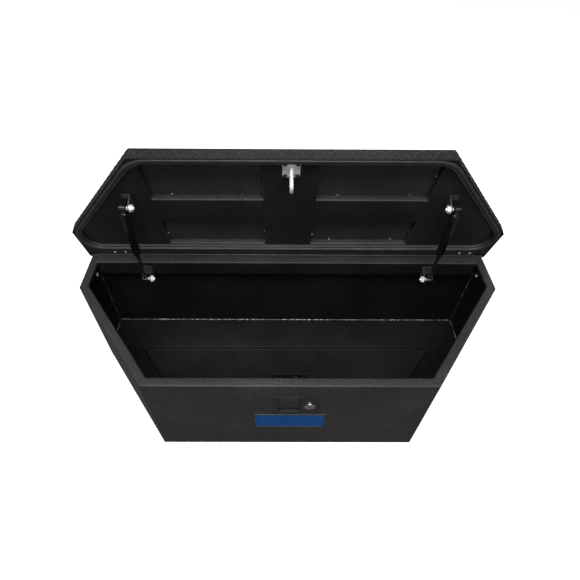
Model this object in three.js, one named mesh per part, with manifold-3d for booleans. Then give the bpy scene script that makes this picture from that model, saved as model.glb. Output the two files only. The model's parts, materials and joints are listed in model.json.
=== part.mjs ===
// A-frame trailer tongue tool box: a welded sheet steel body with a hexagonal plan, a hinged lid on two
// gas struts, a paddle latch with a key lock, and a rotary catch that holds the lid's striker.
// Millimetres, +Z up, +Y towards the hinge. The origin is the middle of the underside.
// The lid is modelled shut and then turned about its hinge to the held-open position.

import * as THREE from 'three';
import { mergeVertices } from 'three/addons/utils/BufferGeometryUtils.js';
import Module from 'manifold-3d';

const wasm = await Module();
wasm.setup();

// Body
const WIDTH = 978;               // across the two rear side walls
const FRONT = 588;               // length of the front face
const DEPTH = 354;               // front face to rear face
const STUB = 105;                // straight part of each side, beside the rear wall
const HEIGHT = 280;
const SHEET = 1.5;
const GAP = 0.3;                 // clearance between pieces that touch
const MITRE_GAP = 0.2;           // taken off each end of a panel, along its face
const SECTOR_OUTER = -10;        // insets between which a panel's share of the plan is taken
const SECTOR_INNER = 60;
const RIM = 19.5;                // rim flange on the front and sides
const REAR_RIM = 25;
const LIP = 12;                  // turned-down edge of the rim
const REAR_LIP = 42;
const FLOOR_HEIGHT = 8;
const RECESS_REAR = 84;          // rear edge of the floor recess, in front of the body's middle
const RECESS_INSET = 70;         // from the walls to the other edges of the recess
const RECESS_SLOPE = 7;

// Hinge
const HINGE_Y = 176;
const HINGE_Z = HEIGHT + 3.3;
const BARREL_R = 3;
const PIN_R = 1.3;
const LEAF = 1.2;
const HINGE_LENGTH = 936;
const KNUCKLES = 13;
const LEAF_FRONT = 153;

// Lid
const LID_OPEN = THREE.MathUtils.degToRad(74.6);
const OVERHANG = 6.5;
const LID_BOTTOM = HEIGHT + 1.4;
const LID_TOP = LID_BOTTOM + 27;
const REAR_SKIRT_Z = HEIGHT + 3.4;   // foot of the rear skirt, which swings down behind the rear wall
const FRAME_Z = HEIGHT + 4.2;     // underside of the flange inside the lid
const FRAME_EDGE = 10;           // its inner edge, inside the body's walls
const FRAME_REAR = 170.2;        // its rear edge, in front of the hinge's barrel
const SEAL_INSET = -4;           // outer edge of the seal, inside the body's walls
const SEAL_REAR = 152;
const SEAL_WIDTH = 13;
const CHANNEL_HALF = 55;
const PAN_START = 287;
const RIB_HEIGHT = 15;
const RIB_FRONT = -44.5;
const RIB_REAR = 38.5;
const REAR_RIB_FRONT = 136;
const CHANNEL_FRONT = -181.5;
const STIFFENER_REAR = 170;      // rear end of the channel and rear edge of the rear ribs
const SEAL_RADII = [60, 60, 60, 38, 38, 60];   // corners of the seal's inner edge, in the hexagon's order
const FACE_Z = LID_TOP - SHEET - RIB_HEIGHT;   // lower face of the channel, ribs and end pans

// Struts
const LOWER_BALL = { x: 352, y: 125, z: HEIGHT - 30 };
const UPPER_BALL = { x: 340, y: -51, z: HEIGHT - 14 };   // with the lid shut
const BRACKET_REACH = 15;        // from a ball's centre inwards to the bracket's plate
const BRACKET_SHEET = 2;
const UPPER_FOOT = { length: 20, front: -13, rear: -1 };   // front and rear edges are measured from the ball
const TUBE_R = 9;
const TUBE_LENGTH = 138;
const BORE_R = 7.5;
const ROD_R = 4;
const SOCKET_R = 7;
const BALL_R = 5;
const SHANK_R = 3.5;
const TUBE_START = 12;           // from the upper ball to the end of the tube
const GLAND = 12;
const NUT = { r: 7.5, depth: 6.7 };
const FITTING_R = 5.5;           // shank of the rod's end fitting
const FITTING_LENGTH = 19;
const ROD_START = 12;            // from the lower ball to the end of the rod

// Latch
const LATCH_FACE = -DEPTH / 2;
const PLATE = { left: -34, right: 65, bottom: 162, top: 240, clip: 28 };
const PRESSING = 2;              // thickness of the latch plate's face
const TRAY = { half: 25, bottom: 172, top: 236, depth: 22, wall: 1.4 };
const PADDLE = { half: 23, bottom: 188, top: 230, sheet: 2.5, lip: 8 };
const PADDLE_PIN = { y: -171.5, z: 225, r: 2 };
const LOCK = { x: 43, z: 200, r: 9.5, plug: 6.5, length: 22 };
const LOCK_ARM = { start: 8, end: 26, tip: 6, corner: 4, sheet: 2.2 };
const KEY_SLOT = { half: 0.6, height: 4, depth: 16 };
const CATCH = { half: 38, bottom: 212, top: 263, cover: 243.5, front: -151, rear: -129, wall: 2, chamfer: 8 };
const LEG = { x: 33, z: 247, r: 4 };
const NOTCH = { half: 5, mouth: 9, below: 6 };
const CLAW_PIVOT = { x: 14, z: 238 };
const CLAW_OPEN = THREE.MathUtils.degToRad(60);
const PAWL_PIVOT = { x: -18, z: 228 };
const PIVOT = { r: 3, head: 5 };
const CLAW_Y = { front: -143, rear: -138 };
const STRIKER = { front: -150, rear: -129, bar: 246, r: 3.5, corner: 8 };
const STRIKER_PLATE = { half: 17, front: -170, rear: -122, sheet: 2 };
const STRIKER_SCREWS = [[-12, -160], [12, -160], [-12, -128], [12, -128]];
const SCREW = { r: 2, head: 4, height: 2 };
const SIDE_BOLT = { y: 158, z: 227, r: 5 };
const NAMEPLATE = { x: 3.5, z: 126, width: 158, height: 66, border: 5, depth: 1.6, back: 0.6 };

// Materials
const coat = new THREE.MeshStandardMaterial({ color: 0x242423, roughness: 0.55, metalness: 0.3 });
const tread = new THREE.MeshStandardMaterial({ color: 0x1f1f1f, roughness: 0.5, metalness: 0.3 });
const rubber = new THREE.MeshStandardMaterial({ color: 0x121212, roughness: 0.8, metalness: 0 });
const zinc = new THREE.MeshStandardMaterial({ color: 0xb4b4b2, roughness: 0.35, metalness: 1 });
const chrome = new THREE.MeshStandardMaterial({ color: 0xd8d8d8, roughness: 0.12, metalness: 1 });
const blackened = new THREE.MeshStandardMaterial({ color: 0x1c1c1d, roughness: 0.4, metalness: 0.6 });
const tubeCoat = new THREE.MeshStandardMaterial({ color: 0x141415, roughness: 0.3, metalness: 0.4 });
const plastic = new THREE.MeshStandardMaterial({ color: 0x19191a, roughness: 0.5, metalness: 0 });
const blue = new THREE.MeshStandardMaterial({ color: 0x1d3f70, roughness: 0.35, metalness: 0.1 });

// Bounds well past the object, for cutting tools
const FAR = 1000;

// Solids

function solid(geometry) {
  const bare = geometry.index ? geometry.toNonIndexed() : geometry.clone();
  bare.deleteAttribute('normal');
  bare.deleteAttribute('uv');
  const merged = mergeVertices(bare, 1e-4);
  return new wasm.Manifold(new wasm.Mesh({
    numProp: 3,
    vertProperties: new Float32Array(merged.attributes.position.array),
    triVerts: new Uint32Array(merged.index.array),
  }));
}

function geometryOf(manifold) {
  const mesh = manifold.getMesh();
  const geometry = new THREE.BufferGeometry();
  geometry.setAttribute('position', new THREE.BufferAttribute(new Float32Array(mesh.vertProperties), 3));
  geometry.setIndex(new THREE.BufferAttribute(new Uint32Array(mesh.triVerts), 1));
  geometry.computeVertexNormals();
  return geometry;
}

const union = (...solids) => solids.reduce((sum, next) => sum.add(next));
const cut = (first, ...others) => others.reduce((rest, next) => rest.subtract(next), first);

function block(x0, x1, y0, y1, z0, z1) {
  const geometry = new THREE.BoxGeometry(x1 - x0, y1 - y0, z1 - z0);
  geometry.translate((x0 + x1) / 2, (y0 + y1) / 2, (z0 + z1) / 2);
  return solid(geometry);
}

function shapeOf(points) {
  return new THREE.Shape(points.map(([x, y]) => new THREE.Vector2(x, y)));
}

// An outline, or a list of its corners, drawn in X and Y and carried along Z from 0 to depth.
function extruded(shape, depth) {
  const outline = Array.isArray(shape) ? shapeOf(shape) : shape;
  return new THREE.ExtrudeGeometry(outline, { depth, bevelEnabled: false, curveSegments: 6 });
}

// A plan outline raised from z0 to z1.
function prism(shape, z0, z1) {
  const geometry = extruded(shape, z1 - z0);
  geometry.translate(0, 0, z0);
  return solid(geometry);
}

// A section drawn in X and Z, carried from y0 to y1.
function bar(shape, y0, y1) {
  const geometry = extruded(shape, y1 - y0);
  geometry.rotateX(Math.PI / 2);
  geometry.translate(0, y1, 0);
  return solid(geometry);
}

// A section drawn in Y and Z, carried from x0 to x1.
function rail(shape, x0, x1) {
  const geometry = extruded(shape, x1 - x0);
  geometry.rotateX(Math.PI / 2);
  geometry.rotateZ(Math.PI / 2);
  geometry.translate(x0, 0, 0);
  return solid(geometry);
}

function rodX(x0, x1, y, z, r, sides = 16) {
  const geometry = new THREE.CylinderGeometry(r, r, x1 - x0, sides);
  geometry.rotateZ(Math.PI / 2);
  geometry.translate((x0 + x1) / 2, y, z);
  return solid(geometry);
}

function rodY(x, y0, y1, z, r, sides = 20) {
  const geometry = new THREE.CylinderGeometry(r, r, y1 - y0, sides);
  geometry.translate(x, (y0 + y1) / 2, z);
  return solid(geometry);
}

function rodZ(x, y, z0, z1, r, sides = 16) {
  const geometry = new THREE.CylinderGeometry(r, r, z1 - z0, sides);
  geometry.rotateX(Math.PI / 2);
  geometry.translate(x, y, (z0 + z1) / 2);
  return solid(geometry);
}

function ball(x, y, z, r) {
  const geometry = new THREE.SphereGeometry(r, 16, 10);
  geometry.translate(x, y, z);
  return solid(geometry);
}

const mirrored = (manifold) => manifold.mirror([1, 0, 0]);

// Plan outlines

const slopeX = (WIDTH - FRONT) / 2;
const slopeY = DEPTH - STUB;
const slopeLength = Math.hypot(slopeX, slopeY);
const normal = { x: slopeY / slopeLength, y: -slopeX / slopeLength };  // of the right slanted wall

// The body's hexagon moved inwards by front, side and rear, counterclockwise from the front left.
function hexagon(front, side = front, rear = front) {
  const y0 = -DEPTH / 2 + front;
  const x0 = FRONT / 2 + (-side - front * normal.y) / normal.x;
  const x1 = WIDTH / 2 - side;
  const y1 = -DEPTH / 2 + (-side - (x1 - FRONT / 2) * normal.x) / normal.y;
  const y2 = DEPTH / 2 - rear;
  return [[-x0, y0], [x0, y0], [x1, y1], [x1, y2], [-x1, y2], [-x1, y1]];
}

// An outline with rounded corners, of one radius or one for each corner.
function rounded(points, radii) {
  const shape = new THREE.Shape();
  points.forEach((corner, i) => {
    const radius = Array.isArray(radii) ? radii[i] : radii;
    const here = new THREE.Vector2(...corner);
    const last = new THREE.Vector2(...points.at(i - 1)).sub(here);
    const next = new THREE.Vector2(...points[(i + 1) % points.length]).sub(here);
    const half = Math.acos(last.clone().normalize().dot(next.clone().normalize())) / 2;
    const reach = radius / Math.tan(half);
    const from = last.setLength(reach).add(here);
    const to = next.setLength(reach).add(here);
    if (i === 0) shape.moveTo(from.x, from.y);
    else shape.lineTo(from.x, from.y);
    shape.quadraticCurveTo(here.x, here.y, to.x, to.y);
  });
  return shape;
}

// The part of the plan between corners first and last, up to the mitre lines at its two ends.
function sector(first, last) {
  const indices = [];
  for (let i = first; i <= last; i += 1) indices.push(i % 6);
  const paths = [SECTOR_OUTER, SECTOR_INNER].map((inset) => {
    const ring = hexagon(inset);
    return indices.map((i) => new THREE.Vector2(...ring[i]));
  });
  for (const path of paths) {
    const start = path[1].clone().sub(path[0]).setLength(MITRE_GAP);
    const end = path.at(-2).clone().sub(path.at(-1)).setLength(MITRE_GAP);
    path[0].add(start);
    path.at(-1).add(end);
  }
  return [...paths[0], ...paths[1].reverse()].map((point) => [point.x, point.y]);
}

// Body

function wallShell(lip) {
  const wall = cut(prism(hexagon(0), 0, HEIGHT), prism(hexagon(SHEET), -1, HEIGHT + 1));
  const opening = prism(hexagon(RIM, RIM, REAR_RIM), -1, HEIGHT + 1);
  const rim = cut(prism(hexagon(0), HEIGHT - SHEET, HEIGHT), opening);
  const edge = cut(prism(hexagon(RIM - SHEET, RIM - SHEET, REAR_RIM - SHEET), HEIGHT - lip, HEIGHT), opening);
  return union(wall, rim, edge);
}

function panel(first, last, lip = LIP) {
  return wallShell(lip).intersect(prism(sector(first, last), -1, HEIGHT + 1));
}

function frontPanel() {
  const room = 2;
  const trayHole = block(-TRAY.half - room, TRAY.half + room, LATCH_FACE - room, LATCH_FACE + room,
    TRAY.bottom - room, TRAY.top + room);
  const lockHole = rodY(LOCK.x, LATCH_FACE - room, LATCH_FACE + room, LOCK.z, LOCK.r + GAP);
  return cut(panel(0, 1), trayHole, lockHole);
}

// A solid between two outlines with the same number of points, at heights z0 and z1.
function taper(low, high, z0, z1) {
  const geometry = new THREE.ExtrudeGeometry(shapeOf(low), { depth: z1 - z0, bevelEnabled: false });
  const position = geometry.attributes.position;
  for (let i = 0; i < position.count; i += 1) {
    if (position.getZ(i) > 0) {
      const at = low.findIndex(([x, y]) => Math.hypot(x - position.getX(i), y - position.getY(i)) < 1e-3);
      position.setXY(i, ...high[at]);
    }
  }
  geometry.translate(0, 0, z0);
  return solid(geometry);
}

// The recess in the floor: four sides, its rear edge straight across.
function recessOutline(extra) {
  const [, front, corner] = hexagon(RECESS_INSET + extra);
  const rear = RECESS_REAR - extra;
  const share = (rear - front[1]) / (corner[1] - front[1]);
  const x = front[0] + share * (corner[0] - front[0]);
  return [[-front[0], front[1]], [front[0], front[1]], [x, rear], [-x, rear]];
}

function floorPan() {
  const plate = prism(hexagon(SHEET + GAP), FLOOR_HEIGHT - SHEET, FLOOR_HEIGHT);
  const outside = taper(recessOutline(RECESS_SLOPE), recessOutline(0), 0, FLOOR_HEIGHT);
  const inside = taper(recessOutline(RECESS_SLOPE + SHEET), recessOutline(SHEET), SHEET, FLOOR_HEIGHT);
  return cut(union(plate, outside), inside);
}

// Hinge: knuckles share one pin and alternate between the two leaves.
function hingeLeaf(odd, z) {
  const half = HINGE_LENGTH / 2;
  const pitch = HINGE_LENGTH / KNUCKLES;
  let leaf = block(-half, half, LEAF_FRONT, HINGE_Y, z, z + LEAF);
  const cuts = [];
  for (let i = 0; i < KNUCKLES; i += 1) {
    const start = -half + i * pitch;
    if ((i % 2 === 1) === odd) {
      leaf = leaf.add(rodX(start + GAP, start + pitch - GAP, HINGE_Y, HINGE_Z, BARREL_R));
    } else {
      const end = start + pitch + GAP;
      cuts.push(block(start - GAP, end, HINGE_Y - BARREL_R - 1, FAR, z - BARREL_R, z + BARREL_R));
    }
  }
  return cut(leaf, ...cuts, rodX(-half - 1, half + 1, HINGE_Y, HINGE_Z, PIN_R + GAP));
}

// Lid, shut

const skin = (inset) => hexagon(inset - OVERHANG);
const lidInside = () => hexagon(SHEET + GAP - OVERHANG, SHEET + GAP - OVERHANG, DEPTH / 2 - FRAME_REAR);

function lidShell() {
  const shell = cut(prism(skin(0), LID_BOTTOM, LID_TOP), prism(skin(SHEET), LID_BOTTOM - 1, LID_TOP - SHEET));
  const side = WIDTH / 2 + OVERHANG - SHEET;
  return cut(shell, block(-side, side, DEPTH / 2, DEPTH, 0, REAR_SKIRT_Z));
}

function sealOutline(inset, extraRadius) {
  const outline = hexagon(SEAL_INSET + inset, SEAL_INSET + inset, DEPTH / 2 - SEAL_REAR + inset);
  return rounded(outline, SEAL_RADII.map((radius) => radius + extraRadius));
}

// Flange turned in round the foot of the skirt, with the seal under it.
function lidFrame() {
  const edge = FRAME_EDGE - SEAL_INSET;
  const opening = prism(sealOutline(edge, 0), 0, FAR);
  return cut(prism(lidInside(), FRAME_Z, FRAME_Z + SHEET), opening);
}

function lidSeal() {
  const outer = sealOutline(0, SEAL_WIDTH);
  const inner = sealOutline(SEAL_WIDTH, 0);
  return cut(prism(outer, HEIGHT + GAP, FRAME_Z - GAP), prism(inner, HEIGHT, FRAME_Z));
}

// A hollow section that stands off the lid skin: its face, and a web on each side in Y or in X.
function stiffener(x0, x1, y0, y1, websInY) {
  const top = LID_TOP - SHEET - GAP;
  const outside = block(x0, x1, y0, y1, FACE_Z, top);
  const inX = websInY ? -1 : SHEET;
  const inY = websInY ? SHEET : -1;
  return cut(outside, block(x0 + inX, x1 - inX, y0 + inY, y1 - inY, FACE_Z + SHEET, top + 1));
}

function endPan() {
  const top = LID_TOP - SHEET - GAP;
  const region = block(PAN_START, WIDTH, -DEPTH, DEPTH, 0, FAR);
  const pan = prism(lidInside(), FACE_Z, top).intersect(region);
  return cut(pan, block(PAN_START + SHEET, WIDTH, -DEPTH, DEPTH, FACE_Z + SHEET, FAR));
}

// Strut mountings

const bracketX = (at) => at.x - BRACKET_REACH;

// A plate in Y and Z with its foot bent outwards, and a hole for the ball stud.
function bracket(at, outline, foot) {
  const x = bracketX(at);
  const plate = rail(outline, x, x + BRACKET_SHEET);
  return cut(union(plate, foot), rodX(x - 1, x + BRACKET_SHEET + 1, at.y, at.z, SHANK_R + GAP));
}

// The foot lies on the end pan.
function upperBracket() {
  const { y, z } = UPPER_BALL;
  const top = FACE_Z - GAP;
  const x = bracketX(UPPER_BALL);
  const { length, front, rear } = UPPER_FOOT;
  const foot = block(x, x + length, y + front, y + rear, top - BRACKET_SHEET, top);
  const tip = [[y - 7, z - 7], [y - 3, z - 9], [y + 3, z - 9], [y + 7, z - 7]];
  return bracket(UPPER_BALL, [[y - 13, top], ...tip, [y + 13, top]], foot);
}

// The foot lies on the rear rim's turned-down edge.
function lowerBracket() {
  const { y, z } = LOWER_BALL;
  const face = DEPTH / 2 - REAR_RIM - GAP;
  const x = bracketX(LOWER_BALL);
  const foot = block(x, x + 24, face - BRACKET_SHEET, face, z - 11, z + 17);
  const root = [[face, z - 11], [face, z + 17]];
  return bracket(LOWER_BALL, [[y - 8, z - 6], [y - 2, z - 10], ...root, [y - 2, z + 10], [y - 8, z + 6]], foot);
}

// Ball stud: a shank through the bracket with a shoulder on its far side, and a ball unless it is cut short.
function studAt(at, withBall) {
  const { x, y, z } = at;
  const shoulder = bracketX(at) + BRACKET_SHEET + GAP;
  const neck = x - SOCKET_R - 1;
  const parts = [rodX(bracketX(at) - 10, shoulder + 1, y, z, SHANK_R), rodX(shoulder, neck, y, z, BALL_R)];
  if (withBall) parts.push(rodX(neck - 1, x, y, z, BALL_R / 2), ball(x, y, z, BALL_R));
  return union(...parts);
}

function nutAt(at) {
  const x = bracketX(at);
  const hex = rodX(x - GAP - NUT.depth, x - GAP, at.y, at.z, NUT.r, 6);
  return cut(hex, rodX(x - GAP - NUT.depth - 1, x, at.y, at.z, SHANK_R + GAP));
}

// Strut pieces lie along +Z, with the lower ball at the origin and the upper ball at the strut's length.

function rodSocket() {
  const cup = rodX(-SOCKET_R, SOCKET_R, 0, 0, SOCKET_R);
  const shank = rodZ(0, 0, BALL_R - 1, FITTING_LENGTH, FITTING_R);
  const ballBore = rodX(-SOCKET_R - 1, SOCKET_R - SHEET, 0, 0, BALL_R + GAP);
  const rodBore = rodZ(0, 0, ROD_START - 1, FITTING_LENGTH + 1, ROD_R + GAP);
  return cut(union(cup, shank), ballBore, rodBore);
}

function strutRod(length) {
  const pistonZ = length - TUBE_START - TUBE_LENGTH + GLAND + 1;
  const pistonEnd = pistonZ + 7;
  const profile = [[0, ROD_START], [ROD_R, ROD_START], [ROD_R, pistonZ], [BORE_R - GAP, pistonZ],
    [BORE_R - GAP, pistonEnd], [0, pistonEnd]];
  const geometry = new THREE.LatheGeometry(profile.map(([r, z]) => new THREE.Vector2(r, z)), 16);
  geometry.rotateX(Math.PI / 2);
  return solid(geometry);
}

function strutTube(length) {
  const top = length - TUBE_START;
  const bottom = top - TUBE_LENGTH;
  const boreTop = top - 8;
  const boreBottom = bottom + GLAND;
  const profile = [[0, top], [5, top], [TUBE_R, top - 5], [TUBE_R, bottom + 2], [TUBE_R - 2, bottom],
    [ROD_R + GAP, bottom], [ROD_R + GAP, boreBottom], [BORE_R, boreBottom], [BORE_R, boreTop], [0, boreTop]];
  const geometry = new THREE.LatheGeometry(profile.reverse().map(([r, z]) => new THREE.Vector2(r, z)), 16);
  geometry.rotateX(Math.PI / 2);
  return solid(geometry);
}

function tubeSocket(length) {
  const cup = rodX(-SOCKET_R, SOCKET_R, 0, length, SOCKET_R);
  return union(cup, rodZ(0, 0, length - TUBE_START + GAP, length - 4, 4.5));
}

// Latch

function latchPlate() {
  const { left, right, bottom, top, clip } = PLATE;
  const outline = [[left, bottom], [right, bottom], [right, top - clip], [right - 4, top - clip + 5],
    [right - clip - 4, top - 2], [right - clip - 10, top], [left, top]];
  const front = LATCH_FACE - GAP - PRESSING;
  const face = bar(outline, front, LATCH_FACE - GAP);
  const back = LATCH_FACE + TRAY.depth;
  const tray = block(-TRAY.half, TRAY.half, front, back, TRAY.bottom, TRAY.top);
  const hollow = block(-TRAY.half + TRAY.wall, TRAY.half - TRAY.wall, front - 1, back - TRAY.wall,
    TRAY.bottom + TRAY.wall, TRAY.top - TRAY.wall);
  const slot = block(-6, 6, back - TRAY.wall - 1, back + 1, TRAY.top - 22, TRAY.top - 10);
  const pinHole = rodX(-TRAY.half - 2, TRAY.half + 2, PADDLE_PIN.y, PADDLE_PIN.z, PADDLE_PIN.r + GAP, 12);
  const lockHole = rodY(LOCK.x, front - 1, LATCH_FACE, LOCK.z, LOCK.r + GAP);
  return cut(union(face, tray), hollow, slot, pinHole, lockHole);
}

// A flat pull with a rolled lower lip, two ears round the pin and a tail that works the pawl.
function paddle() {
  const { half, bottom, top, sheet } = PADDLE;
  const { y, z, r } = PADDLE_PIN;
  const face = LATCH_FACE - 1;
  const root = face + 1;
  const tip = LATCH_FACE + 17;
  const plate = block(-half, half, face, face + sheet, bottom, top);
  const lip = block(-half, half, face, face + PADDLE.lip, bottom, bottom + sheet);
  const earOutline = [[root, z - 8], [y, z - 4], [y + 4, z], [y, z + 4], [root, z + 4]];
  const ears = [-16.5, 13.5].map((x) => rail(earOutline, x, x + 3));
  const tail = rail([[root, z - 12], [y + 2, z - 9], [tip, z - 9], [tip, z - 6], [root, z - 7]], -3, 3);
  return cut(union(plate, lip, ...ears, tail), rodX(-half, half, y, z, r + GAP, 12));
}

const paddlePin = () => rodX(-TRAY.half - 1, TRAY.half + 1, PADDLE_PIN.y, PADDLE_PIN.z, PADDLE_PIN.r, 12);

// A notched plate and a lower cover plate, joined by a foot, on two legs from the front panel.
function catchHousing() {
  const { half, bottom, top, front, rear, wall, chamfer } = CATCH;
  const shoulder = top - chamfer;
  const outline = [[-half, bottom], [half, bottom], [half, shoulder], [half - chamfer, top],
    [chamfer - half, top], [-half, shoulder]];
  const hollow = block(-WIDTH, WIDTH, front + wall, rear - wall, bottom + wall, top + 1);
  const floor = STRIKER.bar - NOTCH.below;
  const throat = top - NOTCH.half;
  const notch = bar([[-NOTCH.half, floor], [NOTCH.half, floor], [NOTCH.half, throat], [NOTCH.mouth, top + 1],
    [-NOTCH.mouth, top + 1], [-NOTCH.half, throat]], front - 1, rear + 1);
  const legStart = LATCH_FACE + SHEET + GAP;
  const legs = [-LEG.x, LEG.x].map((x) => rodY(x, legStart, front + 1, LEG.z, LEG.r, 12));
  const pivots = [CLAW_PIVOT, PAWL_PIVOT].map(({ x, z }) => rodY(x, front - 1, rear + 1, z, PIVOT.r + GAP));
  const aboveCover = block(-WIDTH, WIDTH, rear - wall - 1, rear + 1, CATCH.cover, FAR);
  return cut(union(cut(bar(outline, front, rear), hollow, notch, aboveCover), ...legs), ...pivots);
}

const pivotBore = ({ x, z }) => rodY(x, CATCH.front, CATCH.rear, z, PIVOT.r + GAP);

// Pivot pin: its head stands in front of the catch.
function pivotAt({ x, z }) {
  const shank = rodY(x, CATCH.front - 2, CATCH.rear + 1, z, PIVOT.r);
  return union(shank, rodY(x, CATCH.front - 3.5, CATCH.front - GAP, z, PIVOT.head));
}

// The claw as it holds the striker: an upper jaw over the bar and a short step below it.
function clawShut() {
  const { x, z } = CLAW_PIVOT;
  const { front, rear } = CLAW_Y;
  const inside = [[x - 4, z + 5], [x - 5, z + 13], [x - 19.5, z + 13], [x - 20, z + 9.5]];
  const hook = [[x - 23.5, z + 10], [x - 24, z + 15], [x - 20, z + 19]];
  const back = [[x - 2, z + 19], [x + 6, z + 12], [x + 8, z + 2]];
  const jaw = bar([...inside, ...hook, ...back], front, rear);
  const step = bar([[x - 12, z - 2], [x, z - 6], [x, z + 4], [x - 12, z + 3]], front, rear);
  const hub = rodY(x, front, rear, z, 8.5);
  return cut(union(jaw, step, hub), pivotBore(CLAW_PIVOT));
}

function pawl() {
  const { x, z } = PAWL_PIVOT;
  const { front, rear } = CLAW_Y;
  const heel = [[x + 4, z + 4], [x - 4, z + 5], [x - 8, z - 2], [x - 2, z - 7]];
  const lever = bar([...heel, [x + 19, z - 10], [x + 21, z - 7]], front, rear);
  const hub = rodY(x, front, rear, z, 6.5);
  return cut(union(lever, hub), pivotBore(PAWL_PIVOT));
}

function lockHousing() {
  const plateFace = LATCH_FACE - GAP - PRESSING - GAP;
  const front = plateFace - 1.9;
  const barrel = rodY(LOCK.x, front + 0.5, LATCH_FACE + LOCK.length - 2, LOCK.z, LOCK.r);
  const flange = rodY(LOCK.x, front, plateFace, LOCK.z, LOCK.r + 2);
  const bore = rodY(LOCK.x, front - 1, LATCH_FACE + LOCK.length, LOCK.z, LOCK.plug + GAP);
  return cut(union(barrel, flange), bore);
}

function lockPlug() {
  const { x, z } = LOCK;
  const { half, height, depth } = KEY_SLOT;
  const front = LATCH_FACE - 4;
  const plug = rodY(x, front, LATCH_FACE + LOCK.length, z, LOCK.plug);
  return cut(plug, block(x - half, x + half, front - 1, front + depth, z - height, z + height));
}

function lockCam() {
  const { x, z } = LOCK;
  const { start, end, tip, corner, sheet } = LOCK_ARM;
  const outline = [[x - start, z - start], [x + start, z - start], [x + tip, z + end], [x - tip, z + end]];
  const front = LATCH_FACE + LOCK.length + GAP;
  return bar(rounded(outline, corner), front, front + sheet);
}

// Striker, lid shut

const STRIKER_TOP = FACE_Z - GAP - STRIKER_PLATE.sheet - GAP;   // upper end of the loop, under its plate

function strikerPlate() {
  const top = FACE_Z - GAP;
  const { half, front, rear, sheet } = STRIKER_PLATE;
  const plate = block(-half, half, front, rear, top - sheet, top);
  return cut(plate, ...STRIKER_SCREWS.map(([x, y]) => rodZ(x, y, top - sheet - 1, top + 1, SCREW.r + GAP)));
}

function strikerLoop() {
  const { front, rear, bar: low, r, corner } = STRIKER;
  const [y0, y1] = [front - r, rear + r];
  const outline = rounded([[y0, low - r], [y1, low - r], [y1, FAR], [y0, FAR]], corner);
  const loop = cut(rail(outline, -r, r), block(-FAR, FAR, front + r, rear - r, low + r, FAR));
  return loop.intersect(block(-FAR, FAR, -FAR, FAR, 0, STRIKER_TOP));
}

function screwAt(x, y) {
  const head = rodZ(x, y, STRIKER_TOP - SCREW.height, STRIKER_TOP, SCREW.head, 12);
  return union(head, rodZ(x, y, STRIKER_TOP - 1, FACE_Z - GAP, SCREW.r, 12));
}

// Nameplate

function nameplateBlock(inset, y0, y1) {
  const { x, z, width, height } = NAMEPLATE;
  const [w, h] = [width / 2 - inset, height / 2 - inset];
  return block(x - w, x + w, y0, y1, z - h, z + h);
}

function nameplateFrame() {
  const { border, depth, back } = NAMEPLATE;
  const y = LATCH_FACE - GAP;
  return cut(nameplateBlock(0, y - depth, y), nameplateBlock(border, y - depth - 1, y - back));
}

function nameplateInsert() {
  const y = LATCH_FACE - GAP - NAMEPLATE.back - GAP;
  return nameplateBlock(NAMEPLATE.border + GAP, y - NAMEPLATE.back, y);
}

// Domed head of a bolt through the straight side wall, seen inside the box.
function sideBolt() {
  const wall = WIDTH / 2 - SHEET - GAP;
  return rodX(wall - 3, wall, SIDE_BOLT.y, SIDE_BOLT.z, SIDE_BOLT.r, 12);
}

// Assembly

const toolBox = new THREE.Group();
const lid = new THREE.Group();
lid.position.set(0, HINGE_Y, HINGE_Z);
lid.rotation.x = -LID_OPEN;
toolBox.add(lid);

function place(group, name, manifold, material) {
  const mesh = new THREE.Mesh(geometryOf(manifold), material);
  mesh.name = name;
  if (group === lid) mesh.position.set(0, -HINGE_Y, -HINGE_Z);
  group.add(mesh);
  return mesh;
}

place(toolBox, 'front_panel', frontPanel(), coat);
place(toolBox, 'side_panel_right', panel(1, 3), coat);
place(toolBox, 'side_panel_left', panel(4, 6), coat);
place(toolBox, 'rear_panel', panel(3, 4, REAR_LIP), coat);
place(toolBox, 'floor_pan', floorPan(), coat);
place(toolBox, 'hinge_leaf_body', hingeLeaf(false, HINGE_Z - BARREL_R), coat);
place(toolBox, 'hinge_pin', rodX(-HINGE_LENGTH / 2, HINGE_LENGTH / 2, HINGE_Y, HINGE_Z, PIN_R, 10), zinc);
place(lid, 'hinge_leaf_lid', hingeLeaf(true, FRAME_Z - GAP - LEAF), coat);

place(toolBox, 'latch_plate', latchPlate(), plastic);
place(toolBox, 'paddle', paddle(), plastic);
place(toolBox, 'paddle_pin', paddlePin(), zinc);
place(toolBox, 'lock_housing', lockHousing(), chrome);
place(toolBox, 'lock_plug', lockPlug(), chrome);
place(toolBox, 'lock_cam', lockCam(), zinc);
place(toolBox, 'catch_housing', catchHousing(), blackened);
place(toolBox, 'claw_pivot', pivotAt(CLAW_PIVOT), blackened);
place(toolBox, 'pawl_pivot', pivotAt(PAWL_PIVOT), blackened);
place(toolBox, 'pawl', pawl(), blackened);

// The claw stands open while the lid is up.
const claw = new THREE.Group();
claw.position.set(CLAW_PIVOT.x, 0, CLAW_PIVOT.z);
claw.rotation.y = CLAW_OPEN;
toolBox.add(claw);
place(claw, 'claw', clawShut().translate([-CLAW_PIVOT.x, 0, -CLAW_PIVOT.z]), blackened);

place(toolBox, 'nameplate_frame', nameplateFrame(), chrome);
place(toolBox, 'nameplate_insert', nameplateInsert(), blue);

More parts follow.
